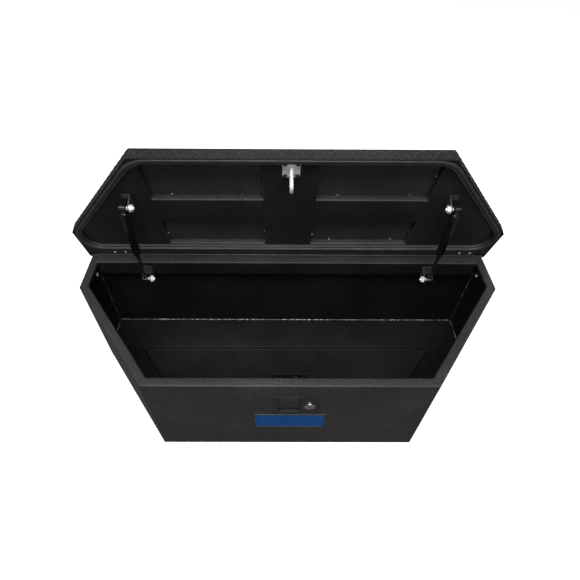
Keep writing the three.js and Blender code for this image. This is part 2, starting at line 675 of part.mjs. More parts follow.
place(lid, 'lid_shell', lidShell(), tread);
place(lid, 'lid_frame', lidFrame(), coat);
place(lid, 'lid_seal', lidSeal(), rubber);
place(lid, 'lid_channel', stiffener(-CHANNEL_HALF, CHANNEL_HALF, CHANNEL_FRONT, STIFFENER_REAR, false), coat);
place(lid, 'striker_plate', strikerPlate(), zinc);
place(lid, 'striker_loop', strikerLoop(), zinc);
STRIKER_SCREWS.forEach(([x, y], i) => place(lid, `striker_screw_${i + 1}`, screwAt(x, y), blackened));

// From the lower ball to the upper ball of the right strut, with the lid up.
const upperOpen = new THREE.Vector3(UPPER_BALL.x, UPPER_BALL.y - HINGE_Y, UPPER_BALL.z - HINGE_Z)
  .applyAxisAngle(new THREE.Vector3(1, 0, 0), -LID_OPEN)
  .add(new THREE.Vector3(0, HINGE_Y, HINGE_Z));
const strutVector = upperOpen.sub(new THREE.Vector3(LOWER_BALL.x, LOWER_BALL.y, LOWER_BALL.z));
const strutLength = strutVector.length();
const strutPitch = Math.atan2(-strutVector.y, strutVector.z);
const strutTilt = Math.asin(strutVector.x / strutLength);

for (const [side, word] of [[-1, 'left'], [1, 'right']]) {
  const sided = (manifold) => (side < 0 ? mirrored(manifold) : manifold);
  const bay = [CHANNEL_HALF + GAP, PAN_START - GAP];
  place(toolBox, `side_bolt_${word}`, sided(sideBolt()), zinc);
  place(toolBox, `lower_bracket_${word}`, sided(lowerBracket()), zinc);
  place(toolBox, `lower_stud_${word}`, sided(studAt(LOWER_BALL, true)), zinc);
  place(toolBox, `lower_nut_${word}`, sided(nutAt(LOWER_BALL)), zinc);
  place(lid, `front_rib_${word}`, sided(stiffener(...bay, RIB_FRONT, RIB_REAR, true)), coat);
  place(lid, `rear_rib_${word}`, sided(stiffener(...bay, REAR_RIB_FRONT, STIFFENER_REAR, true)), coat);
  place(lid, `end_pan_${word}`, sided(endPan()), coat);
  place(lid, `upper_bracket_${word}`, sided(upperBracket()), zinc);
  place(lid, `upper_stud_${word}`, sided(studAt(UPPER_BALL, false)), zinc);
  place(lid, `upper_nut_${word}`, sided(nutAt(UPPER_BALL)), zinc);

  const strut = new THREE.Group();
  strut.position.set(side * LOWER_BALL.x, LOWER_BALL.y, LOWER_BALL.z);
  strut.rotation.set(strutPitch, side * strutTilt, 0);
  toolBox.add(strut);
  place(strut, `rod_socket_${word}`, sided(rodSocket()), blackened);
  place(strut, `strut_rod_${word}`, strutRod(strutLength), blackened);
  place(strut, `strut_tube_${word}`, strutTube(strutLength), tubeCoat);
  place(strut, `tube_socket_${word}`, sided(tubeSocket(strutLength)), blackened);
}

export default toolBox;
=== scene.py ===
"""Trailer tongue tool box with its lid up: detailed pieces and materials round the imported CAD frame.

Metres, +Z up, +Y towards the hinge. The lid's pieces are modelled with the lid shut, and turned open by the
hinge's range when they are finished.
"""
import json
import math
import random

import bmesh
import bpy
from mathutils import Matrix, Vector
from mathutils.geometry import delaunay_2d_cdt
from mathutils.noise import noise


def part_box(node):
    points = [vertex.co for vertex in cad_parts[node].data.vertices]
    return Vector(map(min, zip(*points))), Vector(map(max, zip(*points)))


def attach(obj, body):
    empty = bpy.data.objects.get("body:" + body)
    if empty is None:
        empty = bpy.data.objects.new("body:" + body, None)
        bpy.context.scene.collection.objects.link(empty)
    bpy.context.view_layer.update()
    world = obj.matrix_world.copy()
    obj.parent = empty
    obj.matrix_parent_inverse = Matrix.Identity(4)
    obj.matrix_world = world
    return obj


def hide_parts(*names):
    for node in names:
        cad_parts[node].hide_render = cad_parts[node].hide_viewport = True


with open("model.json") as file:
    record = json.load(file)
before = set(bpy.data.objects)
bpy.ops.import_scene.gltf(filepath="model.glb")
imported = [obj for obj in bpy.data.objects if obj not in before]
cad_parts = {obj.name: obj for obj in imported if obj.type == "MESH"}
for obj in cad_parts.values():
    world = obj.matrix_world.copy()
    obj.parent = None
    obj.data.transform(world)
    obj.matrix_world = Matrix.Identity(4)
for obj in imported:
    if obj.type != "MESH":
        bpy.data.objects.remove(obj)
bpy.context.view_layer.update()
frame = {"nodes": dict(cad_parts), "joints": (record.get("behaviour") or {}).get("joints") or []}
MM = 0.001
SIDES = ((-1, "left"), (1, "right"))

# ---------------------------------------------------------------- sizes read from the frame

JOINTS = {joint["name"]: joint for joint in frame["joints"]}


def low(node):
    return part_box(node)[0]


def high(node):
    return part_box(node)[1]


HALF_WIDTH = high("side_panel_right").x
HALF_FRONT = high("front_panel").x + 0.2 * MM
FRONT_Y = low("front_panel").y
REAR_Y = high("rear_panel").y
TOP_Z = high("front_panel").z
RIM = high("front_panel").y - FRONT_Y
REAR_RIM = REAR_Y - low("rear_panel").y
FLOOR_Z = high("floor_pan").z
LIP = 12 * MM
REAR_LIP = 42 * MM
STUB = 105 * MM
SHEET = 1.5 * MM
GAP = 0.3 * MM            # between pieces that face each other
CLEAR = 0.1 * MM          # between pieces that rest on each other

HINGE = Vector(JOINTS["lid_hinge"]["pos_m"])
OPEN = math.radians(JOINTS["lid_hinge"]["range_deg"][1])
BARREL_R = 3 * MM
HINGE_HALF = high("hinge_pin").x
LEAF = 1.2 * MM
LEAF_FRONT = low("hinge_leaf_body").y

OVERHANG = high("lid_shell").x - HALF_WIDTH
LID_BOTTOM = TOP_Z + 1.4 * MM
LID_TOP = LID_BOTTOM + 27 * MM
REAR_SKIRT_Z = TOP_Z + 3.4 * MM
FRAME_Z = TOP_Z + 4.2 * MM
FACE_Z = LID_TOP - SHEET - 15 * MM
SEAL_OUT = -4 * MM
SEAL_WIDTH = 13 * MM
SEAL_REAR = 152 * MM
FRAME_EDGE = 10 * MM
FRAME_REAR = 170.2 * MM
CHANNEL_HALF = high("lid_channel").x
PAN_START = low("end_pan_right").x
RIB_FRONT = -44.5 * MM
RIB_REAR = 38.5 * MM
REAR_RIB_FRONT = 136 * MM
RIB_END = 170 * MM
SEAL_CORNERS = [60 * MM, 60 * MM, 60 * MM, 38 * MM, 38 * MM, 60 * MM]

CATCH_COVER_Z = 243.5 * MM
PLATE_LOW = low("latch_plate")
PLATE_HIGH = high("latch_plate")
PADDLE_LOW = low("paddle")
PADDLE_HIGH = high("paddle")
PADDLE_PIN = Vector(JOINTS["paddle_pull"]["pos_m"])
LOCK = Vector(JOINTS["lock_turn"]["pos_m"])
CLAW_PIVOT = Vector(JOINTS["claw_turn"]["pos_m"])
PAWL_PIVOT = Vector(JOINTS["pawl_lift"]["pos_m"])

LID_SHUT_TO_OPEN = Matrix.Translation(HINGE) @ Matrix.Rotation(-OPEN, 4, "X") @ Matrix.Translation(-HINGE)
LID_DOWN = LID_SHUT_TO_OPEN.to_3x3() @ Vector((0, 0, -1))

# ---------------------------------------------------------------- outlines


def hexagon(front, side=None, rear=None):
    """The body's plan moved inwards, counterclockwise from the front left corner."""
    side = front if side is None else side
    rear = front if rear is None else rear
    run = Vector((HALF_WIDTH - HALF_FRONT, REAR_Y - FRONT_Y - STUB)).normalized()
    normal = Vector((run.y, -run.x))
    y0 = FRONT_Y + front
    x0 = HALF_FRONT + (-side - front * normal.y) / normal.x
    x1 = HALF_WIDTH - side
    y1 = FRONT_Y + (-side - (x1 - HALF_FRONT) * normal.x) / normal.y
    y2 = REAR_Y - rear
    return [Vector(p) for p in ((-x0, y0), (x0, y0), (x1, y1), (x1, y2), (-x1, y2), (-x1, y1))]


def fillet(before, corner, after, radius, steps):
    """Points of an arc that rounds a corner."""
    a = (before - corner).normalized()
    b = (after - corner).normalized()
    half = math.acos(max(-1.0, min(1.0, a.dot(b)))) / 2
    if radius < 1e-7 or half > math.pi / 2 - 1e-3:
        return [corner.copy() for _ in range(steps + 1)]
    centre = corner + (a + b).normalized() * radius / math.sin(half)
    start = corner + a * radius / math.tan(half) - centre
    end = corner + b * radius / math.tan(half) - centre
    angle = start.angle_signed(end)
    return [centre + Matrix.Rotation(-angle * i / steps, 2) @ start for i in range(steps + 1)]


def rounded(points, radii, steps=8):
    """A closed outline with each corner rounded."""
    if not isinstance(radii, (list, tuple)):
        radii = [radii] * len(points)
    ring = []
    for i, corner in enumerate(points):
        ring += fillet(points[i - 1], corner, points[(i + 1) % len(points)], radii[i], steps)
    return ring


def rectangle(x0, x1, y0, y1):
    return [Vector(p) for p in ((x0, y0), (x1, y0), (x1, y1), (x0, y1))]


def circle(x, y, radius, steps=24):
    turn = 2 * math.pi / steps
    return [Vector((x + radius * math.cos(turn * i), y + radius * math.sin(turn * i))) for i in range(steps)]


def vectors(points):
    return [Vector(p) for p in points]


def encloses(outline, point):
    """Whether a point lies inside a closed outline."""
    inside = False
    for a, b in zip(outline, outline[1:] + outline[:1]):
        if (a.y > point.y) != (b.y > point.y) and point.x < a.x + (point.y - a.y) / (b.y - a.y) * (b.x - a.x):
            inside = not inside
    return inside


def shrink(outline, distance):
    """A closed counterclockwise outline moved inwards along its normals."""
    result = []
    for i, here in enumerate(outline):
        ahead = outline[(i + 1) % len(outline)] - here
        behind = here - outline[i - 1]
        step = 1
        while behind.length < 1e-7 and step < len(outline):
            step += 1
            behind = here - outline[i - step]
        step = 1
        while ahead.length < 1e-7 and step < len(outline):
            step += 1
            ahead = outline[(i + step) % len(outline)] - here
        n1 = Vector((-behind.y, behind.x)).normalized()
        n2 = Vector((-ahead.y, ahead.x)).normalized()
        middle = n1 + n2
        if middle.length < 1e-6:
            middle = n1
        middle.normalize()
        result.append(here + middle * distance / max(0.5, middle.dot(n1)))
    return result


def strip(points, thickness=SHEET, radius=2.2 * MM, steps=5):
    """The closed outline of a bent sheet whose middle line follows the points, with eased edges."""
    points = vectors(points)
    line = [points[0]]
    for i in range(1, len(points) - 1):
        line += fillet(points[i - 1], points[i], points[i + 1], radius, steps)
    line.append(points[-1])
    left, right = [], []
    for i, here in enumerate(line):
        behind = (here - line[i - 1]).normalized() if i else None
        ahead = (line[i + 1] - here).normalized() if i < len(line) - 1 else None
        way = ((behind or ahead) + (ahead or behind)).normalized()
        side = Vector((-way.y, way.x)) * thickness / 2
        left.append(here + side)
        right.append(here - side)
    ease = 0.3 * thickness

    def end(a, b, inward):
        across = (b - a).normalized() * ease
        return [a + inward * ease, a + across, b - across, b + inward * ease]
    first = (line[1] - line[0]).normalized()
    last = (line[-2] - line[-1]).normalized()
    return right[1:-1] + end(right[-1], left[-1], last) + left[-2:0:-1] + end(left[0], right[0], first)


# ---------------------------------------------------------------- meshes

class Solid:
    """Collects closed surfaces and turns them into one named piece."""

    def __init__(self):
        self.mesh = bmesh.new()

    def loft(self, rings, caps=True):
        """Joins closed rings of points. caps fills the first and the last; without caps they join up."""
        rows = [[self.mesh.verts.new(point) for point in ring] for ring in rings]
        count = len(rows[0])
        pairs = list(zip(rows, rows[1:]))
        if not caps:
            pairs.append((rows[-1], rows[0]))
        for one, two in pairs:
            for i in range(count):
                j = (i + 1) % count
                self.mesh.faces.new((one[i], one[j], two[j], two[i]))
        if caps:
            self.mesh.faces.new(rows[0][::-1])
            self.mesh.faces.new(rows[-1])
        return self

    def ring(self, rings):
        """Joins rings into a closed tube, such as a seal."""
        return self.loft(rings, caps=False)

    def fill(self, rows, outlines):
        """Fills between an outer row of vertices and its holes, whose flat outlines are given."""
        verts = [vert for row in rows for vert in row]
        points = [point for outline in outlines for point in outline]
        edges = []
        for row in rows:
            start = edges[-1][0] + 1 if edges else 0
            edges += [(start + i, start + (i + 1) % len(row)) for i in range(len(row))]
        places, _, faces, sources, _, _ = delaunay_2d_cdt(points, edges, [], 1, 1e-7)

        def source(k):
            if sources[k]:
                return sources[k][0]
            return min(range(len(points)), key=lambda i: (points[i] - places[k]).length)
        for face in faces:
            corners = [source(k) for k in face]
            if len(set(corners)) < 3 or self.mesh.faces.get([verts[k] for k in corners]):
                continue
            middle = sum((points[k] for k in corners), Vector((0, 0))) / len(corners)
            if encloses(outlines[0], middle) and not any(encloses(hole, middle) for hole in outlines[1:]):
                self.mesh.faces.new([verts[k] for k in corners])

    def hoop(self, outline, width, lo, hi, place, ease=0.3 * MM):
        """A band of even width along an outline, between lo and hi, with eased edges."""
        levels = [(0, lo + ease), (0, hi - ease), (ease, hi), (width - ease, hi), (width, hi - ease),
                  (width, lo + ease), (width - ease, lo), (ease, lo)]
        return self.ring([[place(p.x, p.y, w) for p in shrink(outline, inset)] for inset, w in levels])

    def slab(self, outline, lo, hi, place, ease=0.3 * MM, holes=()):
        """A plate between lo and hi with eased edges. place puts (u, v, w) into space."""
        loops = []
        for path, sign in [(outline, 1)] + [(hole, -1) for hole in holes]:
            inset = shrink(path, ease * sign)
            levels = [(inset, lo), (path, lo + ease), (path, hi - ease), (inset, hi)]
            rows = [[self.mesh.verts.new(place(p.x, p.y, w)) for p in ring] for ring, w in levels]
            for one, two in zip(rows, rows[1:]):
                for i in range(len(path)):
                    j = (i + 1) % len(path)
                    self.mesh.faces.new((one[i], one[j], two[j], two[i]))
            loops.append((rows[0], rows[-1]))
        flats = [shrink(path, ease * sign) for path, sign in [(outline, 1)] + [(hole, -1) for hole in holes]]
        for end in (0, 1):
            if holes:
                self.fill([pair[end] for pair in loops], flats)
            else:
                self.mesh.faces.new(loops[0][end])
        return self

    def lathe(self, profile, place, steps=24):
        """Turns a profile of (radius, height) about its height axis. place puts (u, v, w) into space."""
        rings = []
        for radius, height in profile:
            radius = max(radius, 0.02 * MM)
            rings.append([place(p.x, p.y, height) for p in circle(0, 0, radius, steps)])
        return self.loft(rings)

    def done(self, name, body, material, replaces=(), slot=None, angle=32, mirror=False):
        """Finishes the piece, and the CAD nodes it stands for."""
        bmesh.ops.remove_doubles(self.mesh, verts=self.mesh.verts, dist=1e-7)
        bmesh.ops.dissolve_degenerate(self.mesh, dist=1e-7, edges=self.mesh.edges)
        if mirror:
            bmesh.ops.scale(self.mesh, vec=(-1, 1, 1), verts=self.mesh.verts)
        bmesh.ops.recalc_face_normals(self.mesh, faces=self.mesh.faces)
        mesh = bpy.data.meshes.new(name)
        self.mesh.to_mesh(mesh)
        self.mesh.free()
        if body == "lid":
            mesh.transform(LID_SHUT_TO_OPEN)
        mesh.shade_smooth()
        mesh.set_sharp_from_angle(angle=math.radians(angle))
        piece = bpy.data.objects.new(name, mesh)
        bpy.context.scene.collection.objects.link(piece)
        piece.data.materials.append(material)
        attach(piece, body)
        if replaces:
            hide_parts(*replaces)
        return piece


def repaint(piece, material, chosen):
    """Gives the faces picked by chosen(centre, normal) another material."""
    piece.data.materials.append(material)
    for face in piece.data.polygons:
        if chosen(face.center, face.normal):
            face.material_index = len(piece.data.materials) - 1


def along_x(x=0.0, y=0.0, z=0.0):
    """Puts a section drawn in Y and Z, or a lathe, along X."""
    return lambda u, v, w: (x + w, y + u, z + v)


def along_y(x=0.0, y=0.0, z=0.0):
    return lambda u, v, w: (x + u, y + w, z + v)


def along_z(x=0.0, y=0.0, z=0.0):
    return lambda u, v, w: (x + u, y + v, z + w)


def carve(piece, *cutters):
    """Cuts openings through a piece with other solids, which are then removed."""
    for cutter in cutters:
        modifier = piece.modifiers.new("cut", "BOOLEAN")
        modifier.operation = "DIFFERENCE"
        modifier.solver = "EXACT"
        modifier.object = cutter
    graph = bpy.context.evaluated_depsgraph_get()
    mesh = bpy.data.meshes.new_from_object(piece.evaluated_get(graph))
    piece.modifiers.clear()
    old = piece.data
    piece.data = mesh
    bpy.data.meshes.remove(old)
    for cutter in cutters:
        bpy.data.objects.remove(cutter)
    mesh.set_sharp_from_angle(angle=math.radians(32))


def cutter(outline, lo, hi, place):
    solid = Solid().slab(outline, lo, hi, place, 0.01 * MM)
    bmesh.ops.recalc_face_normals(solid.mesh, faces=solid.mesh.faces)
    mesh = bpy.data.meshes.new("cutter")
    solid.mesh.to_mesh(mesh)
    solid.mesh.free()
    piece = bpy.data.objects.new("cutter", mesh)
    bpy.context.scene.collection.objects.link(piece)
    return piece


# ---------------------------------------------------------------- materials

class Shader:
    """A small helper for building node materials."""

    def __init__(self, name):
        self.material = bpy.data.materials.new(name)
        self.material.use_nodes = True
        self.nodes = self.material.node_tree.nodes
        self.links = self.material.node_tree.links
        self.bsdf = self.nodes["Principled BSDF"]
        self.place = self.nodes.new("ShaderNodeTexCoord").outputs["Object"]

    def set(self, **values):
        for name, value in values.items():
            self.bsdf.inputs[name.replace("_", " ")].default_value = value

    def noise(self, scale, detail=3.0, rough=0.5, stretch=None):
        node = self.nodes.new("ShaderNodeTexNoise")
        node.inputs["Scale"].default_value = scale
        node.inputs["Detail"].default_value = detail
        node.inputs["Roughness"].default_value = rough
        source = self.place
        if stretch:
            mapping = self.nodes.new("ShaderNodeMapping")
            mapping.inputs["Scale"].default_value = stretch
            self.links.new(source, mapping.inputs["Vector"])
            source = mapping.outputs["Vector"]
        self.links.new(source, node.inputs["Vector"])
        return node.outputs["Fac"]

    def cells(self, scale):
        node = self.nodes.new("ShaderNodeTexVoronoi")
        node.inputs["Scale"].default_value = scale
        self.links.new(self.place, node.inputs["Vector"])
        return node.outputs["Distance"]

    def ramp(self, source, stops):
        node = self.nodes.new("ShaderNodeValToRGB")
        for element, (position, colour) in zip(node.color_ramp.elements, stops):
            element.position = position
            element.color = (*colour, 1) if isinstance(colour, tuple) else (colour, colour, colour, 1)
        self.links.new(source, node.inputs["Fac"])
        return node.outputs["Color"]

    def mix(self, factor, a, b, blend="MIX"):
        node = self.nodes.new("ShaderNodeMix")
        node.data_type = "RGBA"
        node.blend_type = blend
        if isinstance(factor, float):
            node.inputs["Factor"].default_value = factor
        else:
            self.links.new(factor, node.inputs["Factor"])
        for value, slot in ((a, "A"), (b, "B")):
            socket = [s for s in node.inputs if s.name == slot and s.type == "RGBA"][0]
            if isinstance(value, tuple):
                socket.default_value = (*value, 1)
            else:
                self.links.new(value, socket)
        return [s for s in node.outputs if s.type == "RGBA"][0]

    def bump(self, height, distance, strength=1.0):
        node = self.nodes.new("ShaderNodeBump")
        node.inputs["Distance"].default_value = distance
        node.inputs["Strength"].default_value = strength
        self.links.new(height, node.inputs["Height"])
        if self.bsdf.inputs["Normal"].is_linked:
            self.links.new(self.bsdf.inputs["Normal"].links[0].from_socket, node.inputs["Normal"])
        self.links.new(node.outputs["Normal"], self.bsdf.inputs["Normal"])

    def drive(self, name, source):
        self.links.new(source, self.bsdf.inputs[name])

    def vary(self, name, source, *stops):
        self.drive(name, self.ramp(source, stops))


def powder_coat(name, dark, light, rough, grain, ior=1.32):
    """Fine-textured black powder coat: a pebbled skin with faint cloudiness."""
    s = Shader(name)
    cloud = s.ramp(s.noise(7, 4), [(0.35, dark), (0.7, light)])
    pebble = s.ramp(s.noise(420, 2, 0.7), [(0.36, 0.45), (0.66, (1.7, 1.7, 1.68))])
    s.drive("Base Color", s.mix(1.0, cloud, pebble, "MULTIPLY"))
    s.vary("Roughness", s.noise(16, 5, 0.6), (0.3, rough - 0.07), (0.7, rough + 0.07))
    s.set(IOR=ior)
    s.bump(s.noise(grain, 2.5, 0.6), 0.18 * MM, 0.6)
    s.bump(s.noise(420, 2, 0.7), 0.25 * MM, 0.35)
    s.bump(s.noise(60, 2), 0.35 * MM, 0.12)
    return s.material


def weld():
    """Weld metal under thin paint: mostly black, with bare bright patches."""
    s = Shader("weld_metal")
    patches = s.ramp(s.noise(110, 3, 0.7), [(0.47, 0.012), (0.66, (0.24, 0.24, 0.23))])
    s.drive("Base Color", patches)
    s.vary("Roughness", s.noise(300, 3), (0.3, 0.3), (0.7, 0.5))
    s.set(Metallic=0.3)
    s.bump(s.noise(900, 3), 0.2 * MM, 0.6)
    return s.material


def blackened():
    """Oiled black oxide on steel."""
    s = Shader("black_oxide")
    s.vary("Base Color", s.noise(60, 4), (0.3, (0.005, 0.005, 0.0055)), (0.72, 0.013))
    s.vary("Roughness", s.noise(200, 4), (0.3, 0.24), (0.7, 0.4))
    s.set(Metallic=0.2, IOR=1.35)
    s.bump(s.noise(1300, 2), 0.04 * MM, 0.35)
    return s.material


def rubber():
    s = Shader("seal_rubber")
    s.vary("Base Color", s.noise(40, 4), (0.3, 0.011), (0.75, (0.024, 0.024, 0.023)))
    s.vary("Roughness", s.noise(90, 3), (0.3, 0.42), (0.7, 0.58))
    s.set(Specular_IOR_Level=0.5)
    s.bump(s.noise(1500, 2), 0.06 * MM, 0.5)
    return s.material


def zinc():
    """Bright zinc plate: faint spangle, fine scratches and dull patches."""
    s = Shader("zinc_plate")
    patches = s.ramp(s.cells(220), [(0.1, (0.62, 0.625, 0.62)), (0.8, (0.8, 0.8, 0.78))])
    colour = s.mix(s.ramp(s.noise(35, 5), [(0.4, 0.0), (0.7, 0.5)]), patches, (0.5, 0.5, 0.48))
    s.drive("Base Color", colour)
    s.vary("Roughness", s.noise(120, 5), (0.3, 0.26), (0.7, 0.46))
    s.set(Metallic=0.45)
    s.bump(s.noise(900, 3, 0.6, (1, 6, 1)), 0.05 * MM, 0.35)
    return s.material


def dull_zinc():
    """Zinc plate in a darker grey than the bright zinc, on the folded brackets."""
    s = Shader("grey_zinc")
    s.vary("Base Color", s.noise(70, 5), (0.3, (0.035, 0.035, 0.034)), (0.72, (0.10, 0.10, 0.098)))
    s.vary("Roughness", s.noise(150, 4), (0.3, 0.3), (0.7, 0.5))
    s.set(Metallic=0.6)
    s.bump(s.noise(900, 3, 0.6, (1, 6, 1)), 0.05 * MM, 0.35)
    return s.material


def chrome():
    """Polished plate of the lock and the struts' clips."""
    s = Shader("chrome_plate")
    s.vary("Base Color", s.noise(60, 3), (0.3, (0.42, 0.425, 0.43)), (0.7, (0.58, 0.58, 0.575)))
    s.vary("Roughness", s.noise(260, 4), (0.35, 0.07), (0.75, 0.17))
    s.set(Metallic=1.0)
    s.bump(s.noise(500, 2, 0.5, (1, 1, 8)), 0.02 * MM, 0.2)
    return s.material


def gloss_black():
    """Painted tube of the gas struts."""
    s = Shader("strut_paint")
    s.vary("Base Color", s.noise(30, 3), (0.35, (0.003, 0.003, 0.0033)), (0.7, (0.006, 0.006, 0.0063)))
    s.vary("Roughness", s.noise(80, 4), (0.3, 0.2), (0.7, 0.3))
    s.set(IOR=1.3)
    s.bump(s.noise(300, 2), 0.03 * MM, 0.25)
    return s.material


def moulded_black():
    """Black e-coated latch pressing with a fine satin texture."""
    s = Shader("latch_black")
    s.vary("Base Color", s.noise(50, 4), (0.3, 0.010), (0.72, (0.019, 0.019, 0.0185)))
    s.vary("Roughness", s.noise(120, 4), (0.3, 0.34), (0.7, 0.48))
    s.set(IOR=1.28)
    s.bump(s.noise(1900, 2), 0.08 * MM, 0.45)
    return s.material


def enamel():
    s = Shader("blue_enamel")
    s.vary("Base Color", s.noise(25, 4), (0.3, (0.001, 0.045, 0.165)), (0.75, (0.002, 0.055, 0.19)))
    s.vary("Roughness", s.noise(90, 3), (0.3, 0.25), (0.7, 0.38))
    s.set(IOR=1.15)
    s.bump(s.noise(1200, 2), 0.02 * MM, 0.3)
    return s.material


def brushed_frame():
    s = Shader("plate_silver")
    s.vary("Base Color", s.noise(300, 3, 0.6, (0.03, 1, 1)), (0.3, (0.085, 0.08, 0.07)),
           (0.7, (0.15, 0.145, 0.13)))
    s.vary("Roughness", s.noise(400, 3, 0.6, (0.03, 1, 1)), (0.3, 0.25), (0.7, 0.4))
    s.set(Metallic=1.0)
    s.bump(s.noise(900, 2, 0.6, (0.03, 1, 1)), 0.02 * MM, 0.3)
    return s.material


COAT = powder_coat("powder_coat", (0.0135, 0.0135, 0.013), (0.021, 0.021, 0.0203), 0.48, 1500)
# Painted shade: a darker, less shiny copy of the powder coat for the box's inner walls and floor, where shade
# falls.
INSIDE_PAINTED_SHADE = powder_coat("inside_painted_shade", (0.0035, 0.0035, 0.0034), (0.0065, 0.0065, 0.0063), 0.5, 1500, 1.2)
# Painted shade: a darker copy of the powder coat for the broad faces that look down out of the open lid.
LID_FACE_PAINTED_SHADE = powder_coat("lid_face_painted_shade", (0.0075, 0.0075, 0.0072), (0.012, 0.012, 0.0117), 0.5, 1500)
# Painted light: a lighter copy of the powder coat for the underside of the lid's skin between the stiffeners.
LID_SKIN_PAINTED_LIGHT = powder_coat("lid_skin_painted_light", 0.020, 0.030, 0.46, 1100)
TREAD = powder_coat("tread_coat", 0.0075, 0.011, 0.42, 1100, 1.25)
WELD = weld()
BLACK = blackened()
RUBBER = rubber()
ZINC = zinc()
DULL_ZINC = dull_zinc()
CHROME = chrome()
STRUT = gloss_black()
LATCH = moulded_black()
BLUE = enamel()
SILVER = brushed_frame()

# ---------------------------------------------------------------- body panels

BEND = 3 * MM
HALF = SHEET / 2


def rear_inset(side):
    """Rear inset that goes with a side inset, so that the rim's mitres are straight."""
    return side if side <= SHEET else SHEET + (side - SHEET) * (REAR_RIM - SHEET) / (RIM - SHEET)


def side_inset(rear):
    return rear if rear <= SHEET else SHEET + (rear - SHEET) * (RIM - SHEET) / (REAR_RIM - SHEET)


def panel_path(inset, first, last, from_rear=False, steps=8):
    """Plan points of one panel at an inset, from the middle of one rounded corner to that of another."""
    side = side_inset(inset) if from_rear else inset
    ring = hexagon(side, side, inset if from_rear else rear_inset(inset))
    radius = max(BEND - inset, 0.5 * MM)
    points = []
    for k in range(first, last + 1):
        arc = fillet(ring[(k - 1) % 6], ring[k % 6], ring[(k + 1) % 6], radius, steps)
        if k == first:
            arc = arc[steps // 2:]
        if k == last:
            arc = arc[:steps // 2 + 1]
        points += arc
    return points


def panel(first, last, rim, lip, from_rear=False):
    """A wall with its rim turned in and then down, swept along its stretch of the plan."""
    section = strip([(HALF, 0), (HALF, TOP_Z - HALF), (rim - HALF, TOP_Z - HALF), (rim - HALF, TOP_Z - lip)])
    paths = [panel_path(p.x, first, last, from_rear) for p in section]
    rings = [[(path[i].x, path[i].y, p.y) for path, p in zip(paths, section)] for i in range(len(paths[0]))]
    return Solid().loft(rings)


def build_panels():
    front = panel(0, 1, RIM, LIP).done("front_panel_skin", "root", COAT, ["front_panel"], "powder_coat")
    right = panel(1, 3, RIM, LIP).done("side_panel_right_skin", "root", COAT, ["side_panel_right"],
                                       "powder_coat")
    left = panel(4, 6, RIM, LIP).done("side_panel_left_skin", "root", COAT, ["side_panel_left"],
                                      "powder_coat")
    rear = panel(3, 4, REAR_RIM, REAR_LIP, True).done(
        "rear_panel_skin", "root", COAT, ["rear_panel"], "powder_coat")

    # Painted shade: the walls' inner faces below the rim get the darker inside copy of the coat.
    def inside_faces_painted_shade(centre, normal):
        return centre.z < TOP_Z - BEND and normal.xy.dot(centre.xy) < 0
    for piece in (front, right, left, rear):
        repaint(piece, INSIDE_PAINTED_SHADE, inside_faces_painted_shade)
    tray = rectangle(PADDLE_LOW.x - 3.5 * MM, PADDLE_HIGH.x + 3.5 * MM, PLATE_LOW.z + 9 * MM,
                     PLATE_HIGH.z - 2.5 * MM)
    carve(front,
          cutter(rounded(tray, 3 * MM), FRONT_Y - 5 * MM, FRONT_Y + 5 * MM, along_y()),
          cutter(circle(LOCK.x, LOCK.z, 9.8 * MM), FRONT_Y - 5 * MM, FRONT_Y + 5 * MM, along_y()))


def build_floor():
    """Floor pan with its pressed-down panel."""
    recess_rear = 84 * MM
    inset = 70 * MM
    slope = 7 * MM

    def recess(extra, radius, steps=8):
        ring = hexagon(inset + extra)
        rear = recess_rear - extra
        share = (rear - ring[1].y) / (ring[2].y - ring[1].y)
        x = ring[1].x + share * (ring[2].x - ring[1].x)
        return rounded(vectors([(-ring[1].x, ring[1].y), (ring[1].x, ring[1].y), (x, rear), (-x, rear)]),
                       radius, steps)
    section = []
    for i in range(9):
        t = i / 8
        smooth = t * t * (3 - 2 * t)
        section.append((slope * t, (FLOOR_Z - SHEET) * (1 - smooth)))
    solid = Solid()
    outline = rounded(hexagon(SHEET + CLEAR), 1.5 * MM, 3)
    faces = {}
    for name, lift in (("top", SHEET), ("under", 0.0)):
        rows = [[solid.mesh.verts.new((p.x, p.y, z + lift)) for p in recess(reach, 10 * MM - reach)]
                for reach, z in section]
        for one, two in zip(rows, rows[1:]):
            for i in range(len(one)):
                j = (i + 1) % len(one)
                solid.mesh.faces.new((one[i], one[j], two[j], two[i]))
        solid.mesh.faces.new(rows[-1])
        edge = [solid.mesh.verts.new((p.x, p.y, FLOOR_Z - SHEET + lift)) for p in outline]
        faces[name] = edge
        solid.fill([edge, rows[0]], [outline, recess(0, 10 * MM)])
    top, under = faces["top"], faces["under"]
    for i in range(len(top)):
        j = (i + 1) % len(top)
        solid.mesh.faces.new((top[i], top[j], under[j], under[i]))
    # Painted shade: the whole floor pressing takes the darker inside copy of the coat.
    solid.done("floor_pressing", "root", INSIDE_PAINTED_SHADE, ["floor_pan"], "powder_coat")


